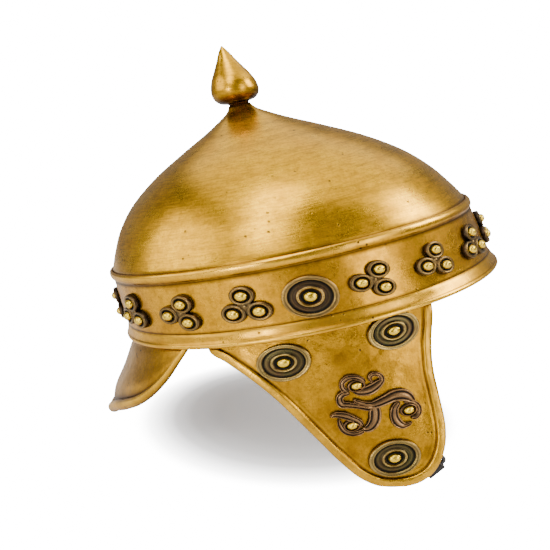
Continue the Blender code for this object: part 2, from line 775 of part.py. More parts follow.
def build_straps(leather, stance):
    along, across, left = buckle_axes()
    centre = buckle_centre(stance)
    reach = along * (BUCKLE_LENGTH - BUCKLE_BAR) / 2
    # the short strap comes down the right guard and folds around the upper bar
    turn = fold(centre - reach, -left, along)
    line, widths = strap_on_guard(stance, 1, across)
    line += turn + [turn[-1] - along * STRAP_FOLD]
    widths += [across] * (len(turn) + 1)
    add_object("guard_strap", ribbon(line, widths), leather)
    # the long strap folds around the lower bar and crosses to the left guard
    turn = fold(centre + reach, -along, -left)
    tail = turn[0] + left * STRAP_FOLD
    start = turn[-1]
    landing, landing_widths = strap_on_guard(stance, -1, across)
    end = landing[-1]
    floor = STRAP_WALL / 2 + GAP * 3
    crossing = []
    widths = []
    for share, height, turned_up, forward in STRAP_ROUTE:
        point = start.lerp(end, share)
        point.x += STRAP_WIDTH * forward
        nearer = start if share < 0.5 else end
        angle = math.pi * turned_up
        lowest = floor + math.sin(angle) * STRAP_WIDTH / 2
        point.z = max(floor + (nearer.z - floor) * height, lowest)
        crossing.append(point)
        widths.append(Vector((-math.cos(angle), 0, -math.sin(angle))))
    line = [tail] + turn + crossing + landing[::-1]
    widths = [across] * (len(turn) + 1) + widths + landing_widths[::-1]
    add_object("chin_strap", ribbon(line, widths), leather)


def build_buckle(black, stance):
    along, across, left = buckle_axes()
    centre = buckle_centre(stance)
    half_long = (BUCKLE_LENGTH - BUCKLE_BAR) / 2
    half_wide = (STRAP_WIDTH + BUCKLE_BAR) / 2 + GAP
    corner = BUCKLE_BAR * 0.45
    data = bpy.data.curves.new("strap_buckle", "CURVE")
    data.dimensions = "3D"
    data.bevel_depth = BUCKLE_BAR / 2
    data.bevel_resolution = 1
    spline = data.splines.new("POLY")
    shape = []
    for x, y in ((1, 1), (-1, 1), (-1, -1), (1, -1)):
        cuts = ((0, corner), (corner, 0)) if x * y > 0 else ((corner, 0), (0, corner))
        shape += [(x * (half_long - cx), y * (half_wide - cy)) for cx, cy in cuts]
    spline.points.add(len(shape) - 1)
    for point, (x, y) in zip(spline.points, shape):
        point.co = (*(centre + along * x + across * y), 1)
    spline.use_cyclic_u = True
    obj = bpy.data.objects.new("strap_buckle", data)
    bpy.context.scene.collection.objects.link(obj)
    add_object("strap_buckle", outward(evaluated_mesh(obj)), black)


def build_rivets(brass, stance):
    # domed heads that hold the strap's ends on the guards' inner faces
    profile = [(0.0, RIVET_HEIGHT), (RIVET_RADIUS * 0.65, RIVET_HEIGHT * 0.75), (RIVET_RADIUS, 0.0), (0.0, 0.0)]
    along, down = STRAP_RIVET
    lift = -SHEET - STRAP_GAP - STRAP_WALL - GAP
    seat = raised(on_guard, CHEEK_LENGTH * along, -CHEEK_DROP * down, lift)
    inward = (raised(on_guard, CHEEK_LENGTH * along, -CHEEK_DROP * down, lift - GAP) - seat).normalized()
    mesh = outward(turned(profile, RIVET_STEPS))
    turn = Vector((0, 0, 1)).rotation_difference(inward).to_matrix().to_4x4()
    mesh.transform(Matrix.Translation(seat) @ turn)
    obj = add_object("strap_rivet_right", mesh, brass, stance)
    mirrored(obj, "strap_rivet_left", stance)


def main():
    clear_scene()
    for name in ("helmet", "cutters"):
        bpy.context.scene.collection.children.link(bpy.data.collections.new(name))
    stance = bpy.data.objects.new("stance", None)
    bpy.data.collections["helmet"].objects.link(stance)
    stance.location = (RIM_CENTRE_X, 0, RIM_CENTRE_Z)
    stance.rotation_euler = (0, -STANCE_PITCH, 0)
    bpy.context.view_layer.update()
    brass = make_material("brass", BRASS, 0.3, 1.0)
    bronze = make_material("dark_bronze", BRONZE, 0.4, 1.0)
    leather = make_material("leather", LEATHER, 0.6, 0.0)
    black = make_material("black_metal", BLACK_METAL, 0.35, 1.0)
    build_crown(brass, stance)
    build_finial(brass, stance)
    build_brow_band(brass, stance)
    build_nape_guard(brass, stance)
    right_guard = build_cheek_guard(brass, stance)
    mirrored(right_guard, "cheek_guard_left", stance)
    build_trefoils(bronze, stance)
    build_roundels(bronze, stance)
    build_triskele(bronze, stance)
    build_straps(leather, stance)
    build_buckle(black, stance)
    build_rivets(brass, stance)


main()
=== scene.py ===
import math

import bmesh
import bpy
import numpy as np
from mathutils import Matrix, Vector


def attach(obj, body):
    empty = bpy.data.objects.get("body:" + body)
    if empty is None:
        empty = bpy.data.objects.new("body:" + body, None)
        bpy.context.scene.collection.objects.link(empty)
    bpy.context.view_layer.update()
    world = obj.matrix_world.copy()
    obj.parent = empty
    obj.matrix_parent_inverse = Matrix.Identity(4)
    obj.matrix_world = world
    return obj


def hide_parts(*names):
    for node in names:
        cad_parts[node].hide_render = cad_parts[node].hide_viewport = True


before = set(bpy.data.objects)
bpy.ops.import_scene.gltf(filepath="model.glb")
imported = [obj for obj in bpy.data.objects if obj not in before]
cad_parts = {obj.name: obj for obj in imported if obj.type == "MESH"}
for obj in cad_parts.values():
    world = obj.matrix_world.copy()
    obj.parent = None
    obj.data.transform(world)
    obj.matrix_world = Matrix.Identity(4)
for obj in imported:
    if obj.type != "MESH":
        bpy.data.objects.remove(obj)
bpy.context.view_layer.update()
print("frame loaded:", len(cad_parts), "nodes")

# Where the helmet stands: every brass piece is drawn in the rim's own frame
# (u to the face, v to the left, w up) and then tipped and moved by these
stance = {
    "pitch": math.radians(11.8),
    "rimX": 0.0085,
    "rimZ": 0.0868,
    "leanBack": 0.156,
}

# The band's oval, shared by all that sits on it
shell = {
    "sheet": 0.0013,
    "gap": 0.0003,
    "stripGap": 0.00045,
    "rimHalf": 0.1258,
    "oval": 0.2164 / 0.2516,
    "creaseHalf": 0.1223,
    "topHalf": 0.1196,
    "creaseHeight": 0.0072,
    "bandHeight": 0.0302,
    "steps": 192,
}
shell["cone"] = (shell["creaseHalf"] - shell["topHalf"]) / shell["bandHeight"]
shell["grooveHeight"] = shell["creaseHeight"] + shell["bandHeight"]
shell["stripHalf"] = shell["creaseHalf"] - shell["sheet"] - shell["stripGap"]


# Points and surfaces

def toWorld(points):
    p = np.asarray(points, float)
    c, s = math.cos(stance["pitch"]), math.sin(stance["pitch"])
    return np.stack([p[..., 0] * c - p[..., 2] * s + stance["rimX"], p[..., 1],
                     p[..., 0] * s + p[..., 2] * c + stance["rimZ"]], -1)


def ovalPoint(angle, height, half):
    # angle from the right side towards the face
    return np.stack([half * np.sin(angle) - stance["leanBack"] * np.maximum(height, 0),
                     -half * shell["oval"] * np.cos(angle), height + angle * 0], -1)


def quarterTurns(steps=180):
    angles = np.linspace(0, math.pi / 2, steps + 1)
    points = ovalPoint(angles, angles * 0, shell["creaseHalf"])
    lengths = np.concatenate([[0], np.cumsum(np.linalg.norm(np.diff(points, axis=0), axis=1))])
    return lengths, angles


quarterLengths, quarterAngles = quarterTurns()
quarterLength = quarterLengths[-1]


def onBand(along, height):
    # along is measured on the band from the right side
    size = np.abs(along)
    angle = np.interp(size, quarterLengths, quarterAngles)
    angle = angle + np.maximum(size - quarterLength, 0) / (shell["creaseHalf"] * shell["oval"])
    half = shell["creaseHalf"] - shell["cone"] * (height - shell["creaseHeight"])
    return ovalPoint(np.copysign(angle, along), height, half)


guardShape = {
    "length": 0.130,
    "drop": 0.0952,
    "splay": 0.008,
    "flattening": 0.9,
    "rollWidth": 0.0050,
    "rollHeight": 0.0022,
    "points": 300,
    "middle": (0.14, 0.35),
    "outline": (     # along share, down share
        (-0.477, 0.040), (-0.408, 0.112), (-0.323, 0.215), (-0.246, 0.330), (-0.180, 0.452), (-0.090, 0.636),
        (-0.025, 0.770), (0.050, 0.898), (0.130, 0.972), (0.215, 0.998), (0.300, 0.992), (0.374, 0.938),
        (0.427, 0.832), (0.450, 0.704), (0.450, 0.539), (0.448, 0.374), (0.463, 0.228), (0.491, 0.100),
        (0.501, 0.020), (0.490, -0.070), (0.476, -0.168), (0.250, -0.168), (0.000, -0.168), (-0.250, -0.168),
        (-0.452, -0.168), (-0.470, -0.070)),
    "border": (      # inset share, lift share, wear and painted highlight, painted shade
        # painted shade in the groove inside the border and under its outer edge; wear and painted highlight along
        # the border's top
        (1.75, 0.00, 0.0, 0.0), (1.55, 0.02, 0.0, 0.1), (1.38, 0.06, 0.1, 0.0), (1.24, 0.03, 0.0, 0.2),
        (1.15, 0.00, 0.0, 0.8), (1.09, 0.04, 0.0, 0.8), (1.04, 0.26, 0.1, 0.2), (0.98, 0.52, 0.3, 0.0),
        (0.90, 0.68, 0.5, 0.0), (0.78, 0.74, 0.55, 0.0), (0.60, 0.76, 0.5, 0.0), (0.42, 0.77, 0.5, 0.0),
        (0.28, 0.75, 0.5, 0.0), (0.15, 0.62, 0.5, 0.0), (0.05, 0.38, 0.4, 0.1), (0.00, 0.10, 0.1, 0.5),
        (0.00, -0.20, 0.0, 0.8), (0.04, -0.42, 0.0, 0.8)),
}


def onGuard(along, height):
    half = shell["stripHalf"] - shell["cone"] * np.maximum(height - shell["creaseHeight"], 0)
    share = (along + stance["leanBack"] * np.maximum(height, 0)) / half
    down = np.maximum(-height, 0) / guardShape["drop"]
    curve = np.sqrt(1 - share ** 2 * (1 - guardShape["flattening"] * down))
    return np.stack([along + height * 0, -half * shell["oval"] * curve - guardShape["splay"] * down,
                     height + along * 0], -1)


def raisedOn(surface, along, height, out):
    step = 0.0005
    across = surface(along + step, height) - surface(along - step, height)
    up = surface(along, height + step) - surface(along, height - step)
    normal = np.cross(across, up)
    normal /= np.linalg.norm(normal, axis=-1, keepdims=True)
    return surface(along, height) + normal * np.asarray(out)[..., None]


def smoothLine(points, count, closed=False):
    # an evenly spread smooth line through given points, any number of columns
    pts = np.asarray(points, float)
    n = len(pts)
    rows = []
    for i in range(n if closed else n - 1):
        if closed:
            a, b, c, d = pts[i - 1], pts[i], pts[(i + 1) % n], pts[(i + 2) % n]
        else:
            a, b, c, d = pts[max(i - 1, 0)], pts[i], pts[i + 1], pts[min(i + 2, n - 1)]
        for t in np.arange(0, 1, 1 / 12):
            rows.append(0.5 * (2 * b + (c - a) * t + (2 * a - 5 * b + 4 * c - d) * t ** 2
                               + (3 * b - 3 * c + d - a) * t ** 3))
    rows.append(pts[0] if closed else pts[-1])
    fine = np.array(rows)
    lengths = np.concatenate([[0], np.cumsum(np.linalg.norm(np.diff(fine[:, :3], axis=0), axis=1))])
    want = np.linspace(0, lengths[-1], count + 1 if closed else count)
    out = np.stack([np.interp(want, lengths, fine[:, k]) for k in range(pts.shape[1])], -1)
    return out[:-1] if closed else out


# Meshes and pieces

def makeMesh(name, points, faces, masks=None):
    mesh = bpy.data.meshes.new(name)
    mesh.from_pydata([tuple(p) for p in points], [], faces)
    for key, values in (masks or {}).items():
        layer = mesh.attributes.new(key, "FLOAT", "POINT")
        layer.data.foreach_set("value", np.asarray(values, np.float32).ravel())
    mesh.update()
    return mesh


def tidyMesh(mesh, merge=0.000002):
    work = bmesh.new()
    work.from_mesh(mesh)
    bmesh.ops.remove_doubles(work, verts=work.verts, dist=merge)
    bmesh.ops.recalc_face_normals(work, faces=work.faces)
    work.to_mesh(mesh)
    work.free()
    mesh.shade_smooth()
    return mesh


def addPiece(name, mesh, material, nodes):
    obj = bpy.data.objects.new(name, mesh)
    mesh.materials.clear()
    mesh.materials.append(material)
    bpy.context.scene.collection.objects.link(obj)
    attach(obj, "root")
    if nodes:
        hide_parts(*nodes)
    return obj


def mirroredMesh(mesh, name):
    other = mesh.copy()
    other.name = name
    other.transform(Matrix.Diagonal((1, -1, 1, 1)))
    other.flip_normals()
    return other


def addPair(name, mesh, material, node, number=""):
    # the right piece and its mirror image, each in place of its own side's node
    for side in ("Right", "Left"):
        title = name + side + number
        shape = mesh if side == "Right" else mirroredMesh(mesh, title)
        addPiece(title, shape, material, ["_".join([node, side.lower(), number]).rstrip("_")])


def movePoints(mesh, mover):
    flat = np.zeros(len(mesh.vertices) * 3)
    mesh.vertices.foreach_get("co", flat)
    mesh.vertices.foreach_set("co", mover(flat.reshape(-1, 3)).ravel())
    mesh.update()
    return mesh


def sheetFaces(rows, columns, closedRows=False, closedColumns=False):
    faces = []
    for i in range(rows if closedRows else rows - 1):
        for j in range(columns if closedColumns else columns - 1):
            k, m = (i + 1) % rows, (j + 1) % columns
            faces.append((i * columns + j, i * columns + m, k * columns + m, k * columns + j))
    return faces


# Geometry Nodes: one lathe for all turned forms, one trio for the trefoils

# the first mask marks real wear on raised edges together with painted highlights; the second paints shade in
# creases, under lips and on inner faces, together with the bronze's dark hollows; the third marks the pale studs
masks = ("wearAndHighlight", "shadeAndPatina", "stud")


def newTree(name, inputs):
    tree = bpy.data.node_groups.new(name, "GeometryNodeTree")
    tree.interface.new_socket("Geometry", in_out="INPUT", socket_type="NodeSocketGeometry")
    for label, kind, value in inputs:
        socket = tree.interface.new_socket(label, in_out="INPUT", socket_type=kind)
        socket.default_value = value
    tree.interface.new_socket("Material", in_out="INPUT", socket_type="NodeSocketMaterial")
    tree.interface.new_socket("Geometry", in_out="OUTPUT", socket_type="NodeSocketGeometry")
    return tree


def feed(tree, node, feeds):
    # sets a plain value on an input or links a socket to it, by name or number
    for key, value in feeds.items():
        if isinstance(value, (int, float, str, tuple)):
            node.inputs[key].default_value = value
        else:
            tree.links.new(value, node.inputs[key])
    return node


def addNode(tree, kind, where, feeds=None, **settings):
    node = tree.nodes.new(kind)
    node.location = where
    for key, value in settings.items():
        setattr(node, key, value)
    return feed(tree, node, feeds or {})


def mathNode(tree, operation, where, a, b=None):
    feeds = {0: a} if b is None else {0: a, 1: b}
    return addNode(tree, "ShaderNodeMath", where, feeds, operation=operation).outputs[0]


def endTree(tree, flow, material, x):
    # every tree ends in real geometry with its material
    real = addNode(tree, "GeometryNodeRealizeInstances", (x, 100), {0: flow}).outputs[0]
    coat = addNode(tree, "GeometryNodeSetMaterial", (x + 150, 100), {"Geometry": real, "Material": material})
    addNode(tree, "NodeGroupOutput", (x + 300, 100), {0: coat.outputs[0]})
    return tree


def latheTree():
    # turns a profile of points (radius, 0, height) round an oval, with its masks
    tree = newTree("turnedForm", (("Steps", "NodeSocketInt", 64), ("Oval", "NodeSocketFloat", 1.0),
                                  ("Lean", "NodeSocketFloat", 0.0)))
    start = addNode(tree, "NodeGroupInput", (-900, 0)).outputs
    size = addNode(tree, "GeometryNodeAttributeDomainSize", (-700, 200), {0: start["Geometry"]}, component="MESH")
    rows = size.outputs["Point Count"]
    columns = mathNode(tree, "ADD", (-700, 0), start["Steps"], 1)
    grid = addNode(tree, "GeometryNodeMeshGrid", (-500, 200), {"Vertices X": columns, "Vertices Y": rows})
    index = addNode(tree, "GeometryNodeInputIndex", (-700, -200)).outputs[0]
    column = mathNode(tree, "FLOOR", (-400, -100), mathNode(tree, "DIVIDE", (-550, -100), index, rows))
    row = mathNode(tree, "SUBTRACT", (-200, -200), index, mathNode(tree, "MULTIPLY", (-300, -200), column, rows))
    turn = mathNode(tree, "DIVIDE", (-250, -100), column, start["Steps"])
    angle = mathNode(tree, "MULTIPLY", (-100, -100), turn, 2 * math.pi)
    place = addNode(tree, "GeometryNodeInputPosition", (-500, -400)).outputs[0]
    sample = addNode(tree, "GeometryNodeSampleIndex", (0, -300),
                     {"Geometry": start["Geometry"], "Value": place, "Index": row},
                     data_type="FLOAT_VECTOR", domain="POINT")
    parts = addNode(tree, "ShaderNodeSeparateXYZ", (150, -300), {0: sample.outputs[0]}).outputs
    radius, height = parts["X"], parts["Z"]
    forward = mathNode(tree, "MULTIPLY", (350, -100), radius, mathNode(tree, "SINE", (150, -100), angle))
    leaning = mathNode(tree, "MULTIPLY", (350, -250), height, start["Lean"])
    aside = mathNode(tree, "MULTIPLY", (350, -400), radius, mathNode(tree, "COSINE", (150, -500), angle))
    squeeze = mathNode(tree, "MULTIPLY", (350, -550), start["Oval"], -1)
    joined = addNode(tree, "ShaderNodeCombineXYZ", (700, -200), {
        0: mathNode(tree, "SUBTRACT", (500, -100), forward, leaning),
        1: mathNode(tree, "MULTIPLY", (500, -400), aside, squeeze), 2: height})
    flow = addNode(tree, "GeometryNodeSetPosition", (850, 100),
                   {"Geometry": grid.outputs["Mesh"], "Position": joined.outputs[0]}).outputs[0]
    for k, mask in enumerate(masks):
        named = addNode(tree, "GeometryNodeInputNamedAttribute", (0, -600 - 200 * k), {"Name": mask},
                        data_type="FLOAT")
        pick = addNode(tree, "GeometryNodeSampleIndex", (200, -600 - 200 * k),
                       {"Geometry": start["Geometry"], "Value": named.outputs["Attribute"], "Index": row},
                       data_type="FLOAT", domain="POINT")
        flow = addNode(tree, "GeometryNodeStoreNamedAttribute", (1000 + 150 * k, 100),
                       {"Name": mask, "Geometry": flow, "Value": pick.outputs[0]},
                       data_type="FLOAT", domain="POINT").outputs[0]
    weld = addNode(tree, "GeometryNodeMergeByDistance", (1500, 100), {"Distance": 0.000002, "Geometry": flow})
    return endTree(tree, weld.outputs[0], start["Material"], 1650)


def trioTree(lathe):
    # the turned disc, repeated on the corners of a triangle
    tree = newTree("ringedTrio", (("Steps", "NodeSocketInt", 40), ("Oval", "NodeSocketFloat", 0.745),
                                  ("Reach", "NodeSocketFloat", 0.0086), ("Turn", "NodeSocketFloat", 0.0),
                                  ("Copies", "NodeSocketInt", 3)))
    start = addNode(tree, "NodeGroupInput", (-600, 0)).outputs
    disc = addNode(tree, "GeometryNodeGroup", (-300, -200), node_tree=lathe)
    feed(tree, disc, {key: start[key] for key in ("Geometry", "Steps", "Oval", "Material")})
    index = addNode(tree, "GeometryNodeInputIndex", (-600, 300)).outputs[0]
    share = mathNode(tree, "DIVIDE", (-450, 300), index, start["Copies"])
    turn = mathNode(tree, "MULTIPLY", (-300, 300), share, 2 * math.pi)
    angle = mathNode(tree, "ADD", (-150, 300), turn, start["Turn"])
    x = mathNode(tree, "MULTIPLY", (100, 350), mathNode(tree, "SINE", (0, 350), angle), start["Reach"])
    y = mathNode(tree, "MULTIPLY", (100, 250), mathNode(tree, "COSINE", (0, 250), angle), start["Reach"])
    joined = addNode(tree, "ShaderNodeCombineXYZ", (300, 300),
                     {0: x, 1: mathNode(tree, "MULTIPLY", (200, 250), y, start["Oval"])})
    corners = addNode(tree, "GeometryNodePoints", (-300, 100),
                      {"Count": start["Copies"], "Position": joined.outputs[0]})
    copies = addNode(tree, "GeometryNodeInstanceOnPoints", (450, 0),
                     {"Points": corners.outputs[0], "Instance": disc.outputs[0]})
    return endTree(tree, copies.outputs[0], start["Material"], 600)


def stitchTree():
    # small thread stitches along the input's edges, each turned with its edge
    tree = newTree("stitchRow", (("Spacing", "NodeSocketFloat", 0.003), ("Length", "NodeSocketFloat", 0.0019),
                                 ("Thread", "NodeSocketFloat", 0.0003)))
    start = addNode(tree, "NodeGroupInput", (-600, 0)).outputs
    path = addNode(tree, "GeometryNodeMeshToCurve", (-450, 100), {"Mesh": start["Geometry"]})
    points = addNode(tree, "GeometryNodeCurveToPoints", (-300, 100),
                     {"Curve": path.outputs[0], "Length": start["Spacing"]}, mode="LENGTH").outputs
    thread = addNode(tree, "GeometryNodeMeshCylinder", (-300, -200),
                     {"Vertices": 6, "Radius": start["Thread"], "Depth": start["Length"]})
    copies = addNode(tree, "GeometryNodeInstanceOnPoints", (-100, 0),
                     {"Points": points["Points"], "Instance": thread.outputs["Mesh"],
                      "Rotation": points["Rotation"]})
    return endTree(tree, copies.outputs[0], start["Material"], 100)


def bakeTree(tree, source, material, values):
    # runs a tree on a source mesh and gives back a plain mesh
    holder = bpy.data.objects.new("holder", source)
    bpy.context.scene.collection.objects.link(holder)
    modifier = holder.modifiers.new("form", "NODES")
    modifier.node_group = tree
    given = {**values, "Material": material}
    for item in tree.interface.items_tree:
        if item.item_type == "SOCKET" and item.in_out == "INPUT" and item.name in given:
            modifier[item.identifier] = given[item.name]
    graph = bpy.context.evaluated_depsgraph_get()
    mesh = bpy.data.meshes.new_from_object(holder.evaluated_get(graph))
    holder.modifiers.remove(modifier)
    bpy.data.objects.remove(holder, do_unlink=True)
    return mesh


def profileMesh(rows):
    # rows: radius, height, wear and painted highlight, painted shade with the bronze's dark hollows, stud
    table = np.asarray(rows, float)
    points = np.stack([table[:, 0], table[:, 0] * 0, table[:, 1]], -1)
    mesh = bpy.data.meshes.new("profile")
    mesh.from_pydata([tuple(p) for p in points], [(i, i + 1) for i in range(len(points) - 1)], [])
    for k, mask in enumerate(masks):
        layer = mesh.attributes.new(mask, "FLOAT", "POINT")
        values = table[:, 2 + k] if table.shape[1] > 2 + k else table[:, 0] * 0
        layer.data.foreach_set("value", np.ascontiguousarray(values, np.float32))
    return mesh


turnedForm = latheTree()
ringedTrio = trioTree(turnedForm)
stitchRow = stitchTree()


def turned(rows, material, steps, oval=1.0, lean=0.0):
    return bakeTree(turnedForm, profileMesh(rows), material, {"Steps": steps, "Oval": oval, "Lean": lean})


# Shader groups

def newShaderGroup(name, inputs, outputs):
    group = bpy.data.node_groups.new(name, "ShaderNodeTree")
    for label, kind, value in inputs:
        socket = group.interface.new_socket(label, in_out="INPUT", socket_type=kind)
        if value is not None:
            socket.default_value = value
    for label, kind in outputs:
        group.interface.new_socket(label, in_out="OUTPUT", socket_type=kind)
    return group, addNode(group, "NodeGroupInput", (-900, 0)).outputs


def noiseNode(tree, where, vector, scale, detail=4.0, rough=0.55):
    return addNode(tree, "ShaderNodeTexNoise", where,
                   {"Scale": scale, "Detail": detail, "Roughness": rough, "Vector": vector})


def rampNode(tree, where, value, stops):
    node = addNode(tree, "ShaderNodeValToRGB", where, {0: value})
    points = node.color_ramp.elements
    points[0].position, points[0].color = stops[0][0], (*[stops[0][1]] * 3, 1)
    points[1].position, points[1].color = stops[-1][0], (*[stops[-1][1]] * 3, 1)
    for position, grey in stops[1:-1]:
        points.new(position).color = (grey, grey, grey, 1)
    return node.outputs[0]


def mixNode(tree, where, factor, a, b):
    return addNode(tree, "ShaderNodeMix", where, {"Factor": factor, 6: a, 7: b}, data_type="RGBA").outputs[2]


def brushedGroup():
    # fine lines round the helmet: long in u and v, short in w
    group, start = newShaderGroup("brushedLines", (
        ("Vector", "NodeSocketVector", None), ("Fine", "NodeSocketFloat", 1500.0),
        ("Stretch", "NodeSocketFloat", 0.07)), (("Height", "NodeSocketFloat"),
        ("Streak", "NodeSocketFloat")))
    parts = addNode(group, "ShaderNodeSeparateXYZ", (-700, 0), {0: start["Vector"]}).outputs
    flat = mathNode(group, "MULTIPLY", (-700, -200), start["Fine"], start["Stretch"])
    scaled = {k: mathNode(group, "MULTIPLY", (-500, -150 * k), parts[k], size)
              for k, size in enumerate((flat, flat, start["Fine"]))}
    joined = addNode(group, "ShaderNodeCombineXYZ", (-300, 0), scaled).outputs[0]
    fine = noiseNode(group, (-100, 100), joined, 1.0, 3.0, 0.6)
    broad = noiseNode(group, (-100, -200), joined, 0.17, 2.0, 0.5)
    total = mathNode(group, "ADD", (300, 0), mathNode(group, "MULTIPLY", (150, 100), fine.outputs[0], 0.65),
                     mathNode(group, "MULTIPLY", (150, -100), broad.outputs[0], 0.35))
    addNode(group, "NodeGroupOutput", (900, 0), {
        "Height": total, "Streak": rampNode(group, (500, -200), total, ((0.44, 0.0), (0.62, 1.0)))})
    return group


def agedGroup():
    # cloudy tarnish, small dark pits, fine speckle and broader mottling
    group, start = newShaderGroup("agedSkin", (
        ("Vector", "NodeSocketVector", None), ("Cloud Scale", "NodeSocketFloat", 28.0),
        ("Pit Scale", "NodeSocketFloat", 240.0), ("Pits", "NodeSocketFloat", 0.5)),
        [(label, "NodeSocketFloat") for label in ("Cloud", "Pit", "Speckle", "Mottle")])
    vector = start["Vector"]
    cloud = noiseNode(group, (-600, 200), vector, start["Cloud Scale"], 5.0, 0.62)
    cells = addNode(group, "ShaderNodeTexVoronoi", (-600, -100), {"Vector": vector, "Scale": start["Pit Scale"]},
                    feature="F1")
    dots = rampNode(group, (-300, -100), cells.outputs["Distance"], ((0.10, 1.0), (0.22, 0.0)))
    sparse = noiseNode(group, (-600, -400), vector, 95.0, 1.0, 0.5)
    here = rampNode(group, (-300, -400), sparse.outputs[0], ((0.60, 0.0), (0.66, 1.0)))
    pit = mathNode(group, "MULTIPLY", (0, -200), dots, here)
    mottle = noiseNode(group, (-600, -900), vector, 190.0, 6.0, 0.72)
    speckle = noiseNode(group, (-600, -650), vector, 720.0, 3.0, 0.7)
    addNode(group, "NodeGroupOutput", (900, 0), {
        "Cloud": rampNode(group, (-300, 200), cloud.outputs[0], ((0.36, 0.0), (0.68, 1.0))),
        "Pit": mathNode(group, "MULTIPLY", (100, -200), pit, start["Pits"]),
        "Mottle": rampNode(group, (-300, -900), mottle.outputs[0], ((0.46, 0.0), (0.66, 1.0))),
        "Speckle": rampNode(group, (-300, -650), speckle.outputs[0], ((0.42, 0.0), (0.75, 1.0)))})
    return group


def wornGroup():
    # colour from the masks that each piece carries: real wear and painted highlights on raised edges, painted shade
    # in recesses together with the bronze's dark hollows
    group, start = newShaderGroup("wearHighlightAndShade", (
        ("Base", "NodeSocketColor", (0.6, 0.4, 0.15, 1)), ("Bright", "NodeSocketColor", (0.9, 0.7, 0.3, 1)),
        ("Dark", "NodeSocketColor", (0.05, 0.04, 0.03, 1)), ("Break Up", "NodeSocketFloat", 0.5)),
        (("Color", "NodeSocketColor"), ("WearAndHighlight", "NodeSocketFloat"), ("ShadeAndPatina", "NodeSocketFloat")))
    wearAndHighlight = addNode(group, "ShaderNodeAttribute", (-700, -150), attribute_name="wearAndHighlight").outputs["Fac"]
    shadeAndPatina = addNode(group, "ShaderNodeAttribute", (-700, -350), attribute_name="shadeAndPatina").outputs["Fac"]
    lost = mathNode(group, "MULTIPLY", (-600, 0), start["Break Up"], 0.55)
    broken = mathNode(group, "MULTIPLY", (-350, -150), wearAndHighlight, mathNode(group, "SUBTRACT", (-500, -50), 1.0, lost))
    # painted shade: the dark tone is mixed in where the shade mask is set, the bright tone where wear and painted
    # highlight are set
    shadeAndPatinaTone = mixNode(group, (-100, 0), shadeAndPatina, start["Base"], start["Dark"])
    addNode(group, "NodeGroupOutput", (900, 0), {
        "Color": mixNode(group, (200, 0), broken, shadeAndPatinaTone, start["Bright"]), "WearAndHighlight": broken, "ShadeAndPatina": shadeAndPatina})
    return group


def hammerGroup():
    # shallow hammer marks and fine wrinkles
    group, start = newShaderGroup("hammerMarks", (
        ("Vector", "NodeSocketVector", None), ("Mark Scale", "NodeSocketFloat", 110.0),
        ("Wrinkle Scale", "NodeSocketFloat", 340.0), ("Wrinkles", "NodeSocketFloat", 0.4)),
        (("Height", "NodeSocketFloat"),))
    bent = noiseNode(group, (-700, -200), start["Vector"], 60.0, 2.0, 0.5)
    shifted = addNode(group, "ShaderNodeMix", (-500, 0), {
        "Factor": 0.012, 4: start["Vector"], 5: bent.outputs["Color"]}, data_type="VECTOR")
    marks = addNode(group, "ShaderNodeTexVoronoi", (-300, 100), {
        "Smoothness": 0.8, "Vector": shifted.outputs[1], "Scale": start["Mark Scale"]}, feature="SMOOTH_F1")
    wrinkle = noiseNode(group, (-300, -200), start["Vector"], start["Wrinkle Scale"], 4.0, 0.65)
    fine = mathNode(group, "MULTIPLY", (100, -200), wrinkle.outputs[0], start["Wrinkles"])
    addNode(group, "NodeGroupOutput", (900, 0), {
        "Height": mathNode(group, "ADD", (300, 0), marks.outputs["Distance"], fine)})
    return group


brushedLines = brushedGroup()
agedSkin = agedGroup()
wearHighlightAndShade = wornGroup()
hammerMarks = hammerGroup()


# Materials

def newMaterial(name, colour, **values):
    material = bpy.data.materials.new(name)
    material.use_nodes = True
    tree = material.node_tree
    shader = feed(tree, tree.nodes["Principled BSDF"], {"Base Color": colour, **values})
    where = addNode(tree, "ShaderNodeTexCoord", (-1900, 0)).outputs["Object"]
    turn = addNode(tree, "ShaderNodeMapping", (-1700, 0), {"Rotation": (0, stance["pitch"], 0), "Vector": where})
    return material, tree, shader, turn.outputs[0]


def groupNode(tree, group, where, **values):
    node = addNode(tree, "ShaderNodeGroup", where, node_tree=group)
    return feed(tree, node, {key.replace("_", " "): value for key, value in values.items()})


def bumpNode(tree, where, height, distance, strength, normal=None):
    node = addNode(tree, "ShaderNodeBump", where, {"Distance": distance, "Strength": strength, "Height": height})
    if normal is not None:
        tree.links.new(normal, node.inputs["Normal"])
    return node.outputs[0]


def spreadNode(tree, where, value, low, high):
    return addNode(tree, "ShaderNodeMapRange", where, {"To Min": low, "To Max": high, "Value": value}).outputs[0]


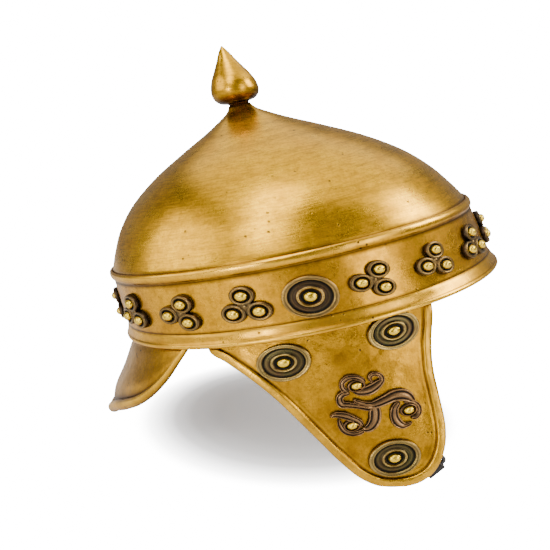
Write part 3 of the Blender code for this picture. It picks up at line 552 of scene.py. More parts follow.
brassLook = {
    # the first tone below is painted shade for creases, undersides and inner faces; the second is mixed in for real
    # wear and painted highlights
    "shadeAndPatinaTone": (0.055, 0.024, 0.004, 1),
    "bright": (1.0, 0.56, 0.035, 1),
    "deep": (0.22, 0.10, 0.003, 1),
    "pit": (0.05, 0.03, 0.012, 1),
    "fleck": 0.40,
    "streak": 0.7,
    "spunBrass": {
        "gold": (1.0, 0.53, 0.010, 1), "warm": (0.68, 0.29, 0.010, 1), "rough": (0.26, 0.38),
        "cloudScale": 70.0, "brushed": 0.60, "hammered": 0.0, "pits": 0.8, "cloud": 0.40, "mottle": 0.30},
    "bandBrass": {
        "gold": (0.86, 0.43, 0.015, 1), "warm": (0.46, 0.19, 0.005, 1), "rough": (0.24, 0.42),
        "cloudScale": 60.0, "brushed": 0.20, "hammered": 0.20, "pits": 1.0, "cloud": 0.7, "mottle": 0.45},
    "hammeredBrass": {
        "gold": (0.66, 0.33, 0.010, 1), "warm": (0.28, 0.125, 0.004, 1), "rough": (0.25, 0.45),
        "cloudScale": 52.0, "brushed": 0.05, "hammered": 0.9, "pits": 1.0, "cloud": 0.85, "mottle": 0.55},
    "napeBrass": {
        "gold": (0.60, 0.30, 0.012, 1), "warm": (0.32, 0.15, 0.006, 1), "rough": (0.28, 0.42),
        "cloudScale": 60.0, "brushed": 0.05, "hammered": 0.35, "pits": 0.9, "cloud": 0.7, "mottle": 0.4},
}


def brassMaterial(name):
    look = brassLook[name]
    material, tree, shader, vector = newMaterial(name, look["gold"], Metallic=1.0)
    aged = groupNode(tree, agedSkin, (-1300, 200), Vector=vector, Cloud_Scale=look["cloudScale"],
                     Pits=look["pits"]).outputs
    lines = groupNode(tree, brushedLines, (-1300, -200), Vector=vector).outputs
    amount = mathNode(tree, "MULTIPLY", (-1100, 300), aged["Cloud"], look["cloud"])
    tone = mixNode(tree, (-950, 200), amount, look["gold"], look["warm"])
    deepened = ((lines["Streak"], look["brushed"] * brassLook["streak"]), (aged["Speckle"], brassLook["fleck"]),
                (aged["Mottle"], look["mottle"]))
    for k, (pattern, share) in enumerate(deepened):
        amount = mathNode(tree, "MULTIPLY", (-1100, -100 * k), pattern, share)
        tone = mixNode(tree, (-850 + 120 * k, 150), amount, tone, brassLook["deep"])
    # worn edges and painted highlights take the bright tone, painted shade takes the dark tone
    wearAndShade = groupNode(tree, wearHighlightAndShade, (-450, 100), Base=tone, Bright=brassLook["bright"], Dark=brassLook["shadeAndPatinaTone"],
                     Break_Up=aged["Cloud"]).outputs
    blend = mathNode(tree, "ADD", (-450, -150), mathNode(tree, "MULTIPLY", (-600, -150), aged["Cloud"], 0.6),
                     mathNode(tree, "MULTIPLY", (-600, -250), wearAndShade["ShadeAndPatina"], 0.6))
    normal = bumpNode(tree, (-450, -400), lines["Height"], 0.00012, look["brushed"])
    if look["hammered"]:
        marks = groupNode(tree, hammerMarks, (-900, -500), Vector=vector)
        normal = bumpNode(tree, (-250, -450), marks.outputs["Height"], 0.0006, look["hammered"], normal)
    sunk = mathNode(tree, "MULTIPLY", (-300, -600), aged["Pit"], -1.0)
    feed(tree, shader, {
        "Base Color": mixNode(tree, (-200, 100), aged["Pit"], wearAndShade["Color"], brassLook["pit"]),
        "Roughness": spreadNode(tree, (-250, -150), blend, *look["rough"]),
        "Normal": bumpNode(tree, (-100, -450), sunk, 0.0002, 0.6, normal)})
    return material


bronzeLook = {
    # the first tone below is near-black for the hollows: partly the bronze's own dark hollows, partly painted shade
    # round the foot of each relief
    "shadeAndPatinaTone": (0.008, 0.008, 0.007, 1),
    "stud": (0.90, 0.60, 0.045, 1),
    "rough": (0.24, 0.5),
    "bandBronze": {
        "base": (0.095, 0.050, 0.024, 1), "tint": (0.060, 0.048, 0.030, 1), "bright": (0.74, 0.46, 0.11, 1),
        "wearAndHighlight": 0.75},
    "guardBronze": {
        "base": (0.075, 0.066, 0.024, 1), "tint": (0.10, 0.055, 0.026, 1), "bright": (0.60, 0.40, 0.11, 1),
        "wearAndHighlight": 0.75},
    "scrollBronze": {
        "base": (0.085, 0.042, 0.024, 1), "tint": (0.035, 0.024, 0.018, 1), "bright": (0.56, 0.31, 0.12, 1),
        "wearAndHighlight": 0.7},
}


def bronzeMaterial(name):
    look = bronzeLook[name]
    material, tree, shader, vector = newMaterial(name, look["base"], Metallic=1.0)
    aged = groupNode(tree, agedSkin, (-1300, 200), Vector=vector, Cloud_Scale=120.0, Pit_Scale=900.0,
                     Pits=0.3).outputs
    tone = mixNode(tree, (-950, 200), aged["Cloud"], look["base"], look["tint"])
    wearAndShade = groupNode(tree, wearHighlightAndShade, (-700, 100), Break_Up=aged["Cloud"]).outputs
    # ridges lightened by wear and painted highlight; hollows darkened, partly the bronze's own dark hollows and
    # partly painted shade
    edge = mathNode(tree, "MULTIPLY", (-500, -50), wearAndShade["WearAndHighlight"], look["wearAndHighlight"])
    shadedTone = mixNode(tree, (-350, 150), wearAndShade["ShadeAndPatina"], tone, bronzeLook["shadeAndPatinaTone"])
    colour = mixNode(tree, (-200, 150), edge, shadedTone, look["bright"])
    stud = addNode(tree, "ShaderNodeAttribute", (-500, -250), attribute_name="stud").outputs["Fac"]
    blend = mathNode(tree, "ADD", (-350, -300), mathNode(tree, "MULTIPLY", (-500, -400), aged["Cloud"], 0.4),
                     mathNode(tree, "MULTIPLY", (-500, -500), wearAndShade["ShadeAndPatina"], 0.6))
    fine = bumpNode(tree, (-300, -600), aged["Speckle"], 0.00006, 0.35)
    feed(tree, shader, {
        "Base Color": mixNode(tree, (0, 150), stud, colour, bronzeLook["stud"]),
        "Roughness": spreadNode(tree, (-150, -300), blend, *bronzeLook["rough"]),
        "Normal": bumpNode(tree, (-100, -600), aged["Cloud"], 0.0001, 0.3, fine)})
    return material


spunBrass = brassMaterial("spunBrass")
bandBrass = brassMaterial("bandBrass")
guardBrass = brassMaterial("hammeredBrass")
napeBrass = brassMaterial("napeBrass")
bandBronze = bronzeMaterial("bandBronze")
guardBronze = bronzeMaterial("guardBronze")
scrollBronze = bronzeMaterial("scrollBronze")

softLook = {
    "leather": ((0.005, 0.004, 0.0035, 1), (0.014, 0.010, 0.008, 1)),
    "leatherWorn": (0.045, 0.030, 0.020, 1),
    "leatherDark": (0.004, 0.004, 0.004, 1),
    "grain": 900.0,
    "enamel": ((0.003, 0.003, 0.0035, 1), (0.009, 0.008, 0.008, 1)),
    "thread": ((0.030, 0.026, 0.022, 1), (0.085, 0.070, 0.055, 1)),
}


def leatherMaterial():
    material, tree, shader, vector = newMaterial("strapLeather", (0.010, 0.008, 0.007, 1), Roughness=0.55)
    grain = addNode(tree, "ShaderNodeTexVoronoi", (-900, -200), {"Scale": softLook["grain"], "Vector": vector},
                    feature="DISTANCE_TO_EDGE")
    creases = rampNode(tree, (-700, -200), grain.outputs["Distance"], ((0.0, 0.0), (0.12, 1.0)))
    cloud = noiseNode(tree, (-900, 200), vector, 110.0, 3.0, 0.6).outputs[0]
    tone = mixNode(tree, (-500, 100), cloud, *softLook["leather"])
    wearAndShade = groupNode(tree, wearHighlightAndShade, (-300, 100), Base=tone, Bright=softLook["leatherWorn"],
                     Dark=softLook["leatherDark"], Break_Up=cloud)
    feed(tree, shader, {
        "Base Color": wearAndShade.outputs["Color"],
        "Roughness": spreadNode(tree, (-300, -100), cloud, 0.42, 0.66),
        "Normal": bumpNode(tree, (-300, -300), creases, 0.00012, 0.5)})
    return material


def enamelMaterial():
    material, tree, shader, vector = newMaterial("blackEnamel", (0.010, 0.010, 0.011, 1), Roughness=0.16,
                                                 Metallic=0.0)
    cloud = noiseNode(tree, (-900, 0), vector, 320.0, 3.0, 0.6).outputs[0]
    feed(tree, shader, {
        "Coat Weight": 0.6,
        "Base Color": mixNode(tree, (-500, 100), cloud, *softLook["enamel"]),
        "Roughness": spreadNode(tree, (-500, -100), cloud, 0.12, 0.26),
        "Normal": bumpNode(tree, (-500, -300), cloud, 0.0001, 0.15)})
    return material


def threadMaterial():
    material, tree, shader, vector = newMaterial("waxedThread", (0.05, 0.042, 0.034, 1), Roughness=0.6)
    twist = noiseNode(tree, (-900, 0), vector, 2600.0, 2.0, 0.5).outputs[0]
    feed(tree, shader, {
        "Base Color": mixNode(tree, (-500, 100), twist, *softLook["thread"]),
        "Normal": bumpNode(tree, (-500, -300), twist, 0.0001, 0.4)})
    return material


strapLeather = leatherMaterial()
blackEnamel = enamelMaterial()
waxedThread = threadMaterial()
print("materials made")


# Crown and finial

crownShape = {
    "height": 0.0864,
    "overlap": 0.0240,
    "beadHeight": 0.0064,
    "outline": (     # height share, radius share
        (1.00, 0.059), (0.965, 0.076), (0.93, 0.110), (0.84, 0.228), (0.73, 0.395), (0.59, 0.592),
        (0.43, 0.763), (0.27, 0.878), (0.12, 0.952), (0.00, 1.000)),
    "rows": 72,
    "innerTop": 0.008,
    "neckShade": 0.003,
    "footShade": 0.0022,
}


def buildCrown():
    foot = shell["topHalf"] - shell["sheet"] - shell["gap"]
    base = shell["grooveHeight"] + crownShape["beadHeight"]
    low = base - crownShape["overlap"]
    outer = [(foot * r, base + crownShape["height"] * h, 0) for h, r in crownShape["outline"]]
    outer = smoothLine(outer, crownShape["rows"])[:, :2]
    top = outer[0, 1]
    spread = shell["cone"] * (shell["grooveHeight"] - low)
    outside = np.concatenate([outer, [(foot, shell["grooveHeight"]), (foot + spread, low)]])
    inside = outside.copy()
    inside[:, 0] -= shell["sheet"]
    inside[:, 1] -= shell["sheet"] * (1 - outside[:, 0] / foot) * 0.8
    inside[-1, 1] = low
    inside = inside[inside[:, 0] > crownShape["innerTop"]][::-1]
    # painted shade: darker under the knob, round the crown's foot where it meets the bead, and on the inner face
    rows = [(0.0, top, 0.1, 0.5, 0)]
    for r, h in outside:
        neck = max(0.0, 1 - (top - h) / crownShape["neckShade"])
        rim = max(0.0, 1 - abs(h - base) / crownShape["footShade"])
        rows.append((r, h, 0, min(0.75 * neck + 0.85 * rim, 1), 0))
    rows += [(r, h, 0, 0.35, 0) for r, h in inside]
    rows.append((0.0, inside[-1, 1] + 0.002, 0, 0.35, 0))
    mesh = turned(rows, spunBrass, shell["steps"], shell["oval"], stance["leanBack"])
    tidyMesh(movePoints(mesh, toWorld))
    addPiece("crownShell", mesh, spunBrass, ["crown"])
    return top


finialShape = {
    "height": 0.0378,
    "radius": 0.0155,
    "lean": 0.09,
    "outline": (     # height share, radius share
        (1.00, 0.00), (0.985, 0.045), (0.95, 0.105), (0.87, 0.24), (0.74, 0.415), (0.60, 0.625),
        (0.47, 0.82), (0.34, 0.955), (0.22, 1.00), (0.12, 0.93), (0.05, 0.74), (0.02, 0.46), (0.00, 0.41),
        (-0.016, 0.41), (-0.016, 0.00)),
    "rows": 56,
    "wornTip": 0.93,
    "shadeHeight": 0.0080,
}


def buildFinial(crownTop):
    foot = crownTop + shell["gap"]
    shape = [(finialShape["radius"] * r, finialShape["height"] * h, 0) for h, r in finialShape["outline"]]
    line = np.concatenate([smoothLine(shape[:-1], finialShape["rows"])[:, :2], [shape[-1][:2]]])
    tip = finialShape["height"] * finialShape["wornTip"]
    # painted shade on the knob's lower part, fading out upwards; the tip carries a little wear
    rows = [(max(r, 0), h, 0.15 if h > tip else 0, min(1, max(0, 1.35 - h / finialShape["shadeHeight"])), 0)
            for r, h in line]
    mesh = turned(rows, spunBrass, 64, lean=finialShape["lean"])

    def place(points):
        points[:, 0] -= stance["leanBack"] * foot
        points[:, 2] += foot
        return toWorld(points)

    tidyMesh(movePoints(mesh, place))
    addPiece("pointedKnob", mesh, spunBrass, ["finial"])


buildFinial(buildCrown())
print("crown and knob built")


# Brow band

bandShape = {
    "beadHeight": 0.0064,
    "beadDepth": 0.0027,
    "roll": 0.0034,
    "creaseStep": 0.0005,
}


def buildBand():
    top = shell["grooveHeight"] + bandShape["beadHeight"]
    inside = shell["topHalf"] - shell["sheet"]
    depth, roll, rim = bandShape["beadDepth"], bandShape["roll"], shell["rimHalf"]
    # painted shade on the inner edge under the crown
    rows = [(inside, top - 0.0008, 0, 0.9, 0)]
    centre = (inside + depth * 0.28, top - bandShape["beadHeight"] * 0.47)
    for turn in np.radians(np.arange(96, -80, -11)):
        r = centre[0] + depth * 0.72 * math.cos(turn)
        h = centre[1] + bandShape["beadHeight"] * 0.46 * math.sin(turn)
        # the bead's upper side gets wear and painted highlight, its underside painted shade
        rows.append((r, h, max(0, math.cos(turn - 0.5)) ** 3 * 0.75, max(0, -math.sin(turn)) ** 2 * 0.7, 0))
    # painted shade in the groove under the bead
    rows += [(shell["topHalf"] + 0.0001, shell["grooveHeight"] - 0.0002, 0, 0.95, 0),
             (shell["topHalf"] + 0.0001, shell["grooveHeight"] - 0.0012, 0, 0.55, 0)]
    for share in np.linspace(0.08, 0.94, 10):
        h = shell["grooveHeight"] - shell["bandHeight"] * share
        rows.append((shell["topHalf"] + shell["cone"] * (shell["grooveHeight"] - h), h, 0, 0, 0))
    crease, high = shell["creaseHalf"], shell["creaseHeight"]
    # painted shade along the crease; wear and painted highlight down the flare and on the rim's roll; painted shade
    # under the roll
    flare = [(crease, high + 0.0011, 0, 0.35, 0), (crease - 0.0002, high + 0.0003, 0, 1.0, 0),
             (crease + 0.0002, high - 0.0003, 0.2, 0.4, 0), (crease + 0.0006, high - 0.0009, 0.75, 0, 0),
             (crease + 0.0011, high - 0.0022, 0.4, 0, 0), (crease + 0.0017, high - 0.0036, 0.35, 0, 0),
             (rim - 0.0012, roll * 0.62, 0.3, 0, 0), (rim - 0.0008, roll * 0.48, 0, 0.45, 0),
             (rim - 0.0003, roll * 0.34, 0.7, 0, 0), (rim, roll * 0.10, 0.9, 0, 0),
             (rim - 0.00005, -roll * 0.12, 0.7, 0, 0), (rim - 0.0005, -roll * 0.27, 0.2, 0.2, 0),
             (rim - 0.0011, -roll * 0.30, 0, 0.5, 0), (rim - 0.0022, -roll * 0.15, 0, 0.7, 0)]
    # painted shade on the inner face
    back = [(crease - shell["sheet"], high + shell["sheet"], 0, 0.4, 0), (inside, shell["grooveHeight"], 0, 0.4, 0)]
    rows = rows + flare + back + rows[:1]
    mesh = turned(rows, bandBrass, shell["steps"], shell["oval"], stance["leanBack"])
    tidyMesh(movePoints(mesh, toWorld))
    addPiece("browBand", mesh, bandBrass, ["brow_band"])


buildBand()
print("brow band built")


# Nape guard

napeShape = {
    "stripTop": 0.0160,
    "drop": 0.0540,
    "flare": 0.0295,
    "halfAngle": math.radians(51),
    "roll": 0.0042,
    "outline": (     # drop share, flare share
        (0.04, 0.03), (0.18, 0.19), (0.43, 0.47), (0.69, 0.81), (0.88, 0.95)),
    "edge": (        # angle share, drop share
        (0.00, 1.00), (0.08, 0.96), (0.18, 0.885), (0.34, 0.78), (0.51, 0.685), (0.66, 0.585),
        (0.78, 0.46), (0.88, 0.30), (0.95, 0.14), (1.00, 0.03)),
    "turns": 121,
    "edgePoints": 400,
    "linePoints": 26,
    "thinRoll": 0.45,
}


def buildNapeGuard():
    table = np.array(napeShape["edge"])
    both = np.concatenate([np.stack([-table[:0:-1, 0], table[:0:-1, 1]], -1), table])
    fine = smoothLine(np.stack([both[:, 0], both[:, 1], both[:, 0] * 0], -1), napeShape["edgePoints"])
    shares = np.linspace(-1, 1, napeShape["turns"])
    sections, wearAndHighlights, paintedShades = [], [], []
    top = shell["stripHalf"] - shell["cone"] * (napeShape["stripTop"] - shell["creaseHeight"])
    for share in shares:
        left = float(np.interp(share, fine[:, 0], fine[:, 1]))
        angle = share * napeShape["halfAngle"] - math.pi / 2
        line = [(top, napeShape["stripTop"]), (shell["stripHalf"], shell["creaseHeight"])]
        line += [(shell["stripHalf"] + napeShape["flare"] * f * left, -napeShape["drop"] * d * left)
                 for d, f in napeShape["outline"]]
        roll = napeShape["roll"] * (napeShape["thinRoll"] + (1 - napeShape["thinRoll"]) * left)
        centre = (shell["stripHalf"] + napeShape["flare"] * left, -napeShape["drop"] * left)
        outer = smoothLine([(*p, 0) for p in line], napeShape["linePoints"])[:, :2]
        arc = np.radians(np.arange(128, -160, -16))
        edge = np.stack([centre[0] + roll * np.cos(arc), centre[1] + roll * np.sin(arc)], -1)
        edge[0] = outer[-1] * 0.5 + edge[1] * 0.5
        inner = outer[::-1] - (shell["sheet"], shell["sheet"] * 0.3)
        ring = np.concatenate([outer, edge, inner])
        # painted highlight along the roll's outer face; painted shade in the fold between plate and roll, inside
        # the curl, under the roll and on the inner face
        shine = np.clip(np.cos(arc - 0.35), 0, 1) ** 2 * 0.9
        wearAndHighlight = np.concatenate([outer[:, 0] * 0, shine, inner[:, 0] * 0])
        shade = np.where(arc > 1.5, 0.9, 0.0) + np.where(arc < -1.1, 0.6, 0)
        paintedNapeShade = np.concatenate([[0] * (len(outer) - 2), [0.35, 0.95], shade, np.full(len(inner), 0.45)])
        sections.append(ovalPoint(np.full(len(ring), angle), ring[:, 1], ring[:, 0]))
        wearAndHighlights.append(wearAndHighlight)
        paintedShades.append(paintedNapeShade)
    count = len(sections[0])
    points = toWorld(np.concatenate(sections))
    points[:, 2] = np.maximum(points[:, 2], 0.00004)
    faces = sheetFaces(len(sections), count, closedColumns=True)
    last = (len(sections) - 1) * count
    for start in (0, last):
        # each end is closed by a strip between its outer and inner lines
        loop = list(range(start, start + count))
        for k in range(count // 2 - 1):
            quad = (loop[k], loop[k + 1], loop[count - 2 - k], loop[count - 1 - k])
            faces.append(quad if len(set(quad)) == 4 else quad[:3])
    mesh = makeMesh("napeGuard", points, faces, {
        "wearAndHighlight": np.concatenate(wearAndHighlights), "shadeAndPatina": np.concatenate(paintedShades)})
    tidyMesh(mesh)
    addPiece("napeGuard", mesh, napeBrass, ["nape_guard"])


buildNapeGuard()
print("nape guard built")


# Cheek guards

def buildCheekGuard():
    size = (guardShape["length"], -guardShape["drop"])
    corners = [(a * size[0], d * size[1], 0) for a, d in guardShape["outline"]]
    outline = smoothLine(corners, guardShape["points"], closed=True)[:, :2]
    step = np.roll(outline, -1, 0) - np.roll(outline, 1, 0)
    inward = np.stack([-step[:, 1], step[:, 0]], -1)
    inward /= np.linalg.norm(inward, axis=1, keepdims=True)
    middle = np.array(size) * guardShape["middle"]
    rolled = np.clip(-outline[:, 1] / shell["creaseHeight"], 0, 1)
    rings, wearAndHighlights, paintedShades = [], [], []
    width = guardShape["rollWidth"]
    first = outline + inward * width * guardShape["border"][0][0]
    for share in np.linspace(0.04, 0.97, 22):
        at = middle + (first - middle) * share
        rings.append(raisedOn(onGuard, at[:, 0], at[:, 1], np.zeros(len(at))))
        wearAndHighlights.append(np.zeros(len(at)))
        paintedShades.append(np.zeros(len(at)))
    for inset, lift, wearAndHighlight, shadeAndPatina in guardShape["border"]:
        at = outline + inward * width * inset
        out = guardShape["rollHeight"] * lift * rolled
        rings.append(raisedOn(onGuard, at[:, 0], at[:, 1], out))
        wearAndHighlights.append(wearAndHighlight * rolled)
        paintedShades.append(shadeAndPatina * rolled)
    first = outline + inward * width * 0.15
    for share in np.linspace(1.0, 0.05, 14):
        at = middle + (first - middle) * share
        rings.append(raisedOn(onGuard, at[:, 0], at[:, 1], np.full(len(at), -shell["sheet"])))
        wearAndHighlights.append(np.zeros(len(at)))
        # painted shade on the back face
        paintedShades.append(np.full(len(at), 0.4))
    count = len(outline)
    centre = raisedOn(onGuard, *[np.array([v]) for v in middle], np.zeros(1))
    behind = raisedOn(onGuard, *[np.array([v]) for v in middle], np.full(1, -shell["sheet"]))
    points = toWorld(np.concatenate([centre, *rings, behind]))
    points[:, 2] = np.maximum(points[:, 2], 0.00004)
    faces = [tuple(v + 1 for v in face) for face in sheetFaces(len(rings), count, closedColumns=True)]
    last = 1 + (len(rings) - 1) * count
    for j in range(count):
        k = (j + 1) % count
        faces.append((0, 1 + j, 1 + k))
        faces.append((len(points) - 1, last + k, last + j))
    mesh = makeMesh("cheekGuard", points, faces, {
        "wearAndHighlight": np.concatenate([[0], *wearAndHighlights, [0]]), "shadeAndPatina": np.concatenate([[0], *paintedShades, [0.4]])})
    tidyMesh(mesh)
    addPair("cheekGuard", mesh, guardBrass, "cheek_guard")


buildCheekGuard()
print("cheek guards built")


# Raised ornaments: turned discs, laid on the band and on the guards

ornament = {
    "lift": 0.00035,
    "bandOval": 0.745,
    "guardOval": 0.68,
    "bandHeight": 0.0195,
    "trefoilHeight": 0.0203,
}

trefoil = {
    "ring": 0.0072,
    "reach": 0.0082,
    "relief": 0.0052,
    "steps": 40,
    "places": (      # share of a quarter of the band, turn of the top stud, size
        ("1", -0.662, 8, 1.03), ("2", -0.415, 25, 1.01), ("3", -0.185, 2, 1.03), ("4", 0.217, 31, 0.95),
        ("5", 0.442, 16, 0.96), ("6", 0.668, 4, 1.00), ("front", 0.910, 4, 1.04),
        ("back", -0.940, 25, 1.00)),
    "profile": (     # radius share, relief share, wear and painted highlight, painted shade with the bronze's dark hollows, stud
        # a dark dot on the stud's top; painted shade round the stud's foot, in the channel and round the outer
        # foot, together with the bronze's dark hollows; wear and painted highlight on the ridges
        (0.00, 0.975, 0, 1.0, 0.0), (0.030, 0.975, 0, 1.0, 0.1), (0.055, 1.00, 0, 0, 0.8),
        (0.13, 0.992, 0, 0, 1),
        (0.21, 0.965, 0, 0, 1), (0.29, 0.915, 0, 0, 1), (0.36, 0.85, 0, 0, 1), (0.42, 0.77, 0, 0, 1),
        (0.455, 0.67, 0, 0, 1), (0.475, 0.57, 0, 0, 1), (0.48, 0.46, 0, 0.1, 0.8), (0.485, 0.34, 0, 1, 0),
        (0.55, 0.32, 0, 1, 0), (0.64, 0.36, 0, 1, 0), (0.665, 0.45, 0, 0.7, 0), (0.69, 0.53, 0.35, 0, 0),
        (0.72, 0.545, 0.2, 0, 0), (0.755, 0.535, 0, 0.3, 0), (0.785, 0.555, 0.8, 0, 0),
        (0.81, 0.56, 0.8, 0, 0),
        (0.835, 0.53, 0, 0.4, 0), (0.87, 0.54, 0.1, 0, 0), (0.91, 0.52, 0.25, 0, 0),
        (0.945, 0.46, 0.1, 0.1, 0),
        (0.975, 0.34, 0, 0.4, 0), (0.995, 0.18, 0, 0.8, 0), (1.0, 0.0, 0, 1.0, 0), (0.0, 0.0, 0, 1, 0)),
}


def wrapOn(mesh, surface, place):
    # lays a flat ornament (x along, y up, z out) on the surface at its place
    def mover(points):
        return toWorld(raisedOn(surface, place[0] + points[:, 0], place[1] + points[:, 1],
                                ornament["lift"] + points[:, 2]))
    return tidyMesh(movePoints(mesh, mover))


def scaledProfile(rows, radius, relief):
    return [(r * radius, h * relief, *masks) for r, h, *masks in rows]


def webMesh(turn):
    # the small three-cornered plate between a trefoil's rings
    size, high = trefoil["reach"] * 0.62, trefoil["relief"]
    corners = [(math.sin(a), math.cos(a) * ornament["bandOval"]) for a in np.radians((60, 180, 300)) + turn]
    top = [(x * size * 0.8, y * size * 0.8, high * 0.46) for x, y in corners]
    low = [(x * size, y * size, 0.0) for x, y in corners]
    faces = [(0, 1, 2), (5, 4, 3)] + [(i, i + 3, (i + 1) % 3 + 3, (i + 1) % 3) for i in range(3)]
    # the web's top gets wear and painted highlight, its foot painted shade
    return makeMesh("web", np.array(top + low), faces, {
        "wearAndHighlight": [0.25] * 3 + [0] * 3, "shadeAndPatina": [0] * 3 + [0.8] * 3, "stud": [0] * 6})


def joinMeshes(meshes):
    work = bmesh.new()
    for mesh in meshes:
        work.from_mesh(mesh)
    joined = meshes[0].copy()
    work.to_mesh(joined)
    work.free()
    return joined


def trefoilOnBand(profile, place, turn, size):
    trio = bakeTree(ringedTrio, profile.copy(), bandBronze, {
        "Steps": trefoil["steps"], "Oval": ornament["bandOval"], "Reach": trefoil["reach"], "Turn": turn,
        "Copies": 3})
    flat = joinMeshes([trio, webMesh(turn)])
    flat.transform(Matrix.Diagonal((size, size, 1, 1)))
    return wrapOn(flat, onBand, (place * quarterLength, ornament["trefoilHeight"]))


def buildTrefoils():
    profile = profileMesh(scaledProfile(trefoil["profile"], trefoil["ring"], trefoil["relief"]))
    for name, place, turn, size in trefoil["places"]:
        mesh = trefoilOnBand(profile, place, math.radians(turn), size)
        if name in ("front", "back"):
            addPiece("trefoil" + name.capitalize(), mesh, bandBronze, ["trefoil_" + name])
            continue
        addPair("trefoil", mesh, bandBronze, "trefoil", name)


buildTrefoils()
print("trefoils built")

roundel = {
    "bandRadius": 0.0157,
    "guardRadius": 0.0148,
    "relief": 0.0034,
    "steps": 96,
    "bandPlace": 0.015,
    "guardPlaces": (     # along share, down share, size
        (-0.166, 0.146, 1.03), (0.307, 0.102, 1.00), (0.209, 0.817, 1.00)),
    "profile": (         # radius share, relief share, wear and painted highlight, painted shade with the bronze's dark hollows, stud
        # a dark dot on the stud's top; painted shade round the stud's foot, in the channels and round the outer
        # foot, together with the bronze's dark hollows; wear and painted highlight on the pale rings
        (0.00, 0.985, 0, 1.0, 0), (0.012, 0.985, 0, 1.0, 0.1), (0.025, 1.00, 0, 0, 0.8),
        (0.06, 0.99, 0, 0, 1),
        (0.10, 0.96, 0, 0, 1), (0.15, 0.90, 0, 0, 1), (0.19, 0.80, 0, 0, 1), (0.215, 0.68, 0, 0, 1),
        (0.23, 0.54, 0, 0, 1), (0.235, 0.42, 0, 0.2, 0.6), (0.25, 0.33, 0, 1, 0), (0.29, 0.30, 0, 1, 0),
        (0.34, 0.32, 0, 0.9, 0), (0.375, 0.42, 0, 0.5, 0), (0.40, 0.55, 0.45, 0, 0), (0.43, 0.60, 0.9, 0, 0),
        (0.46, 0.58, 0.7, 0, 0), (0.485, 0.48, 0.1, 0.3, 0), (0.51, 0.36, 0, 0.6, 0),
        (0.55, 0.30, 0, 0.45, 0),
        (0.60, 0.29, 0, 0.25, 0), (0.64, 0.31, 0.12, 0.1, 0), (0.67, 0.29, 0, 0.3, 0),
        (0.70, 0.29, 0, 0.6, 0),
        (0.735, 0.30, 0, 1.0, 0), (0.76, 0.36, 0, 1.0, 0), (0.785, 0.52, 0.1, 0.3, 0),
        (0.81, 0.64, 0.8, 0, 0),
        (0.84, 0.67, 0.7, 0, 0), (0.86, 0.635, 0.2, 0.35, 0), (0.885, 0.66, 0.5, 0, 0),
        (0.92, 0.72, 0.9, 0, 0),
        (0.95, 0.71, 0.9, 0, 0), (0.975, 0.60, 0.7, 0, 0), (0.992, 0.38, 0.3, 0.3, 0),
        (1.0, 0.15, 0, 0.9, 0),
        (1.0, 0.0, 0, 1, 0), (0.0, 0.0, 0, 1, 0)),
}


def buildRoundels():
    def disc(radius, material, oval):
        rows = scaledProfile(roundel["profile"], radius, roundel["relief"])
        return turned(rows, material, roundel["steps"], ornament[oval])

    place = (roundel["bandPlace"] * quarterLength, ornament["bandHeight"])
    mesh = wrapOn(disc(roundel["bandRadius"], bandBronze, "bandOval"), onBand, place)
    addPair("bandRoundel", mesh, bandBronze, "band_roundel")
    for k, (along, down, size) in enumerate(roundel["guardPlaces"], 1):
        place = (guardShape["length"] * along, -guardShape["drop"] * down)
        mesh = wrapOn(disc(roundel["guardRadius"] * size, guardBronze, "guardOval"), onGuard, place)
        addPair("guardRoundel", mesh, guardBronze, "cheek_roundel", str(k))


buildRoundels()
print("roundels built")

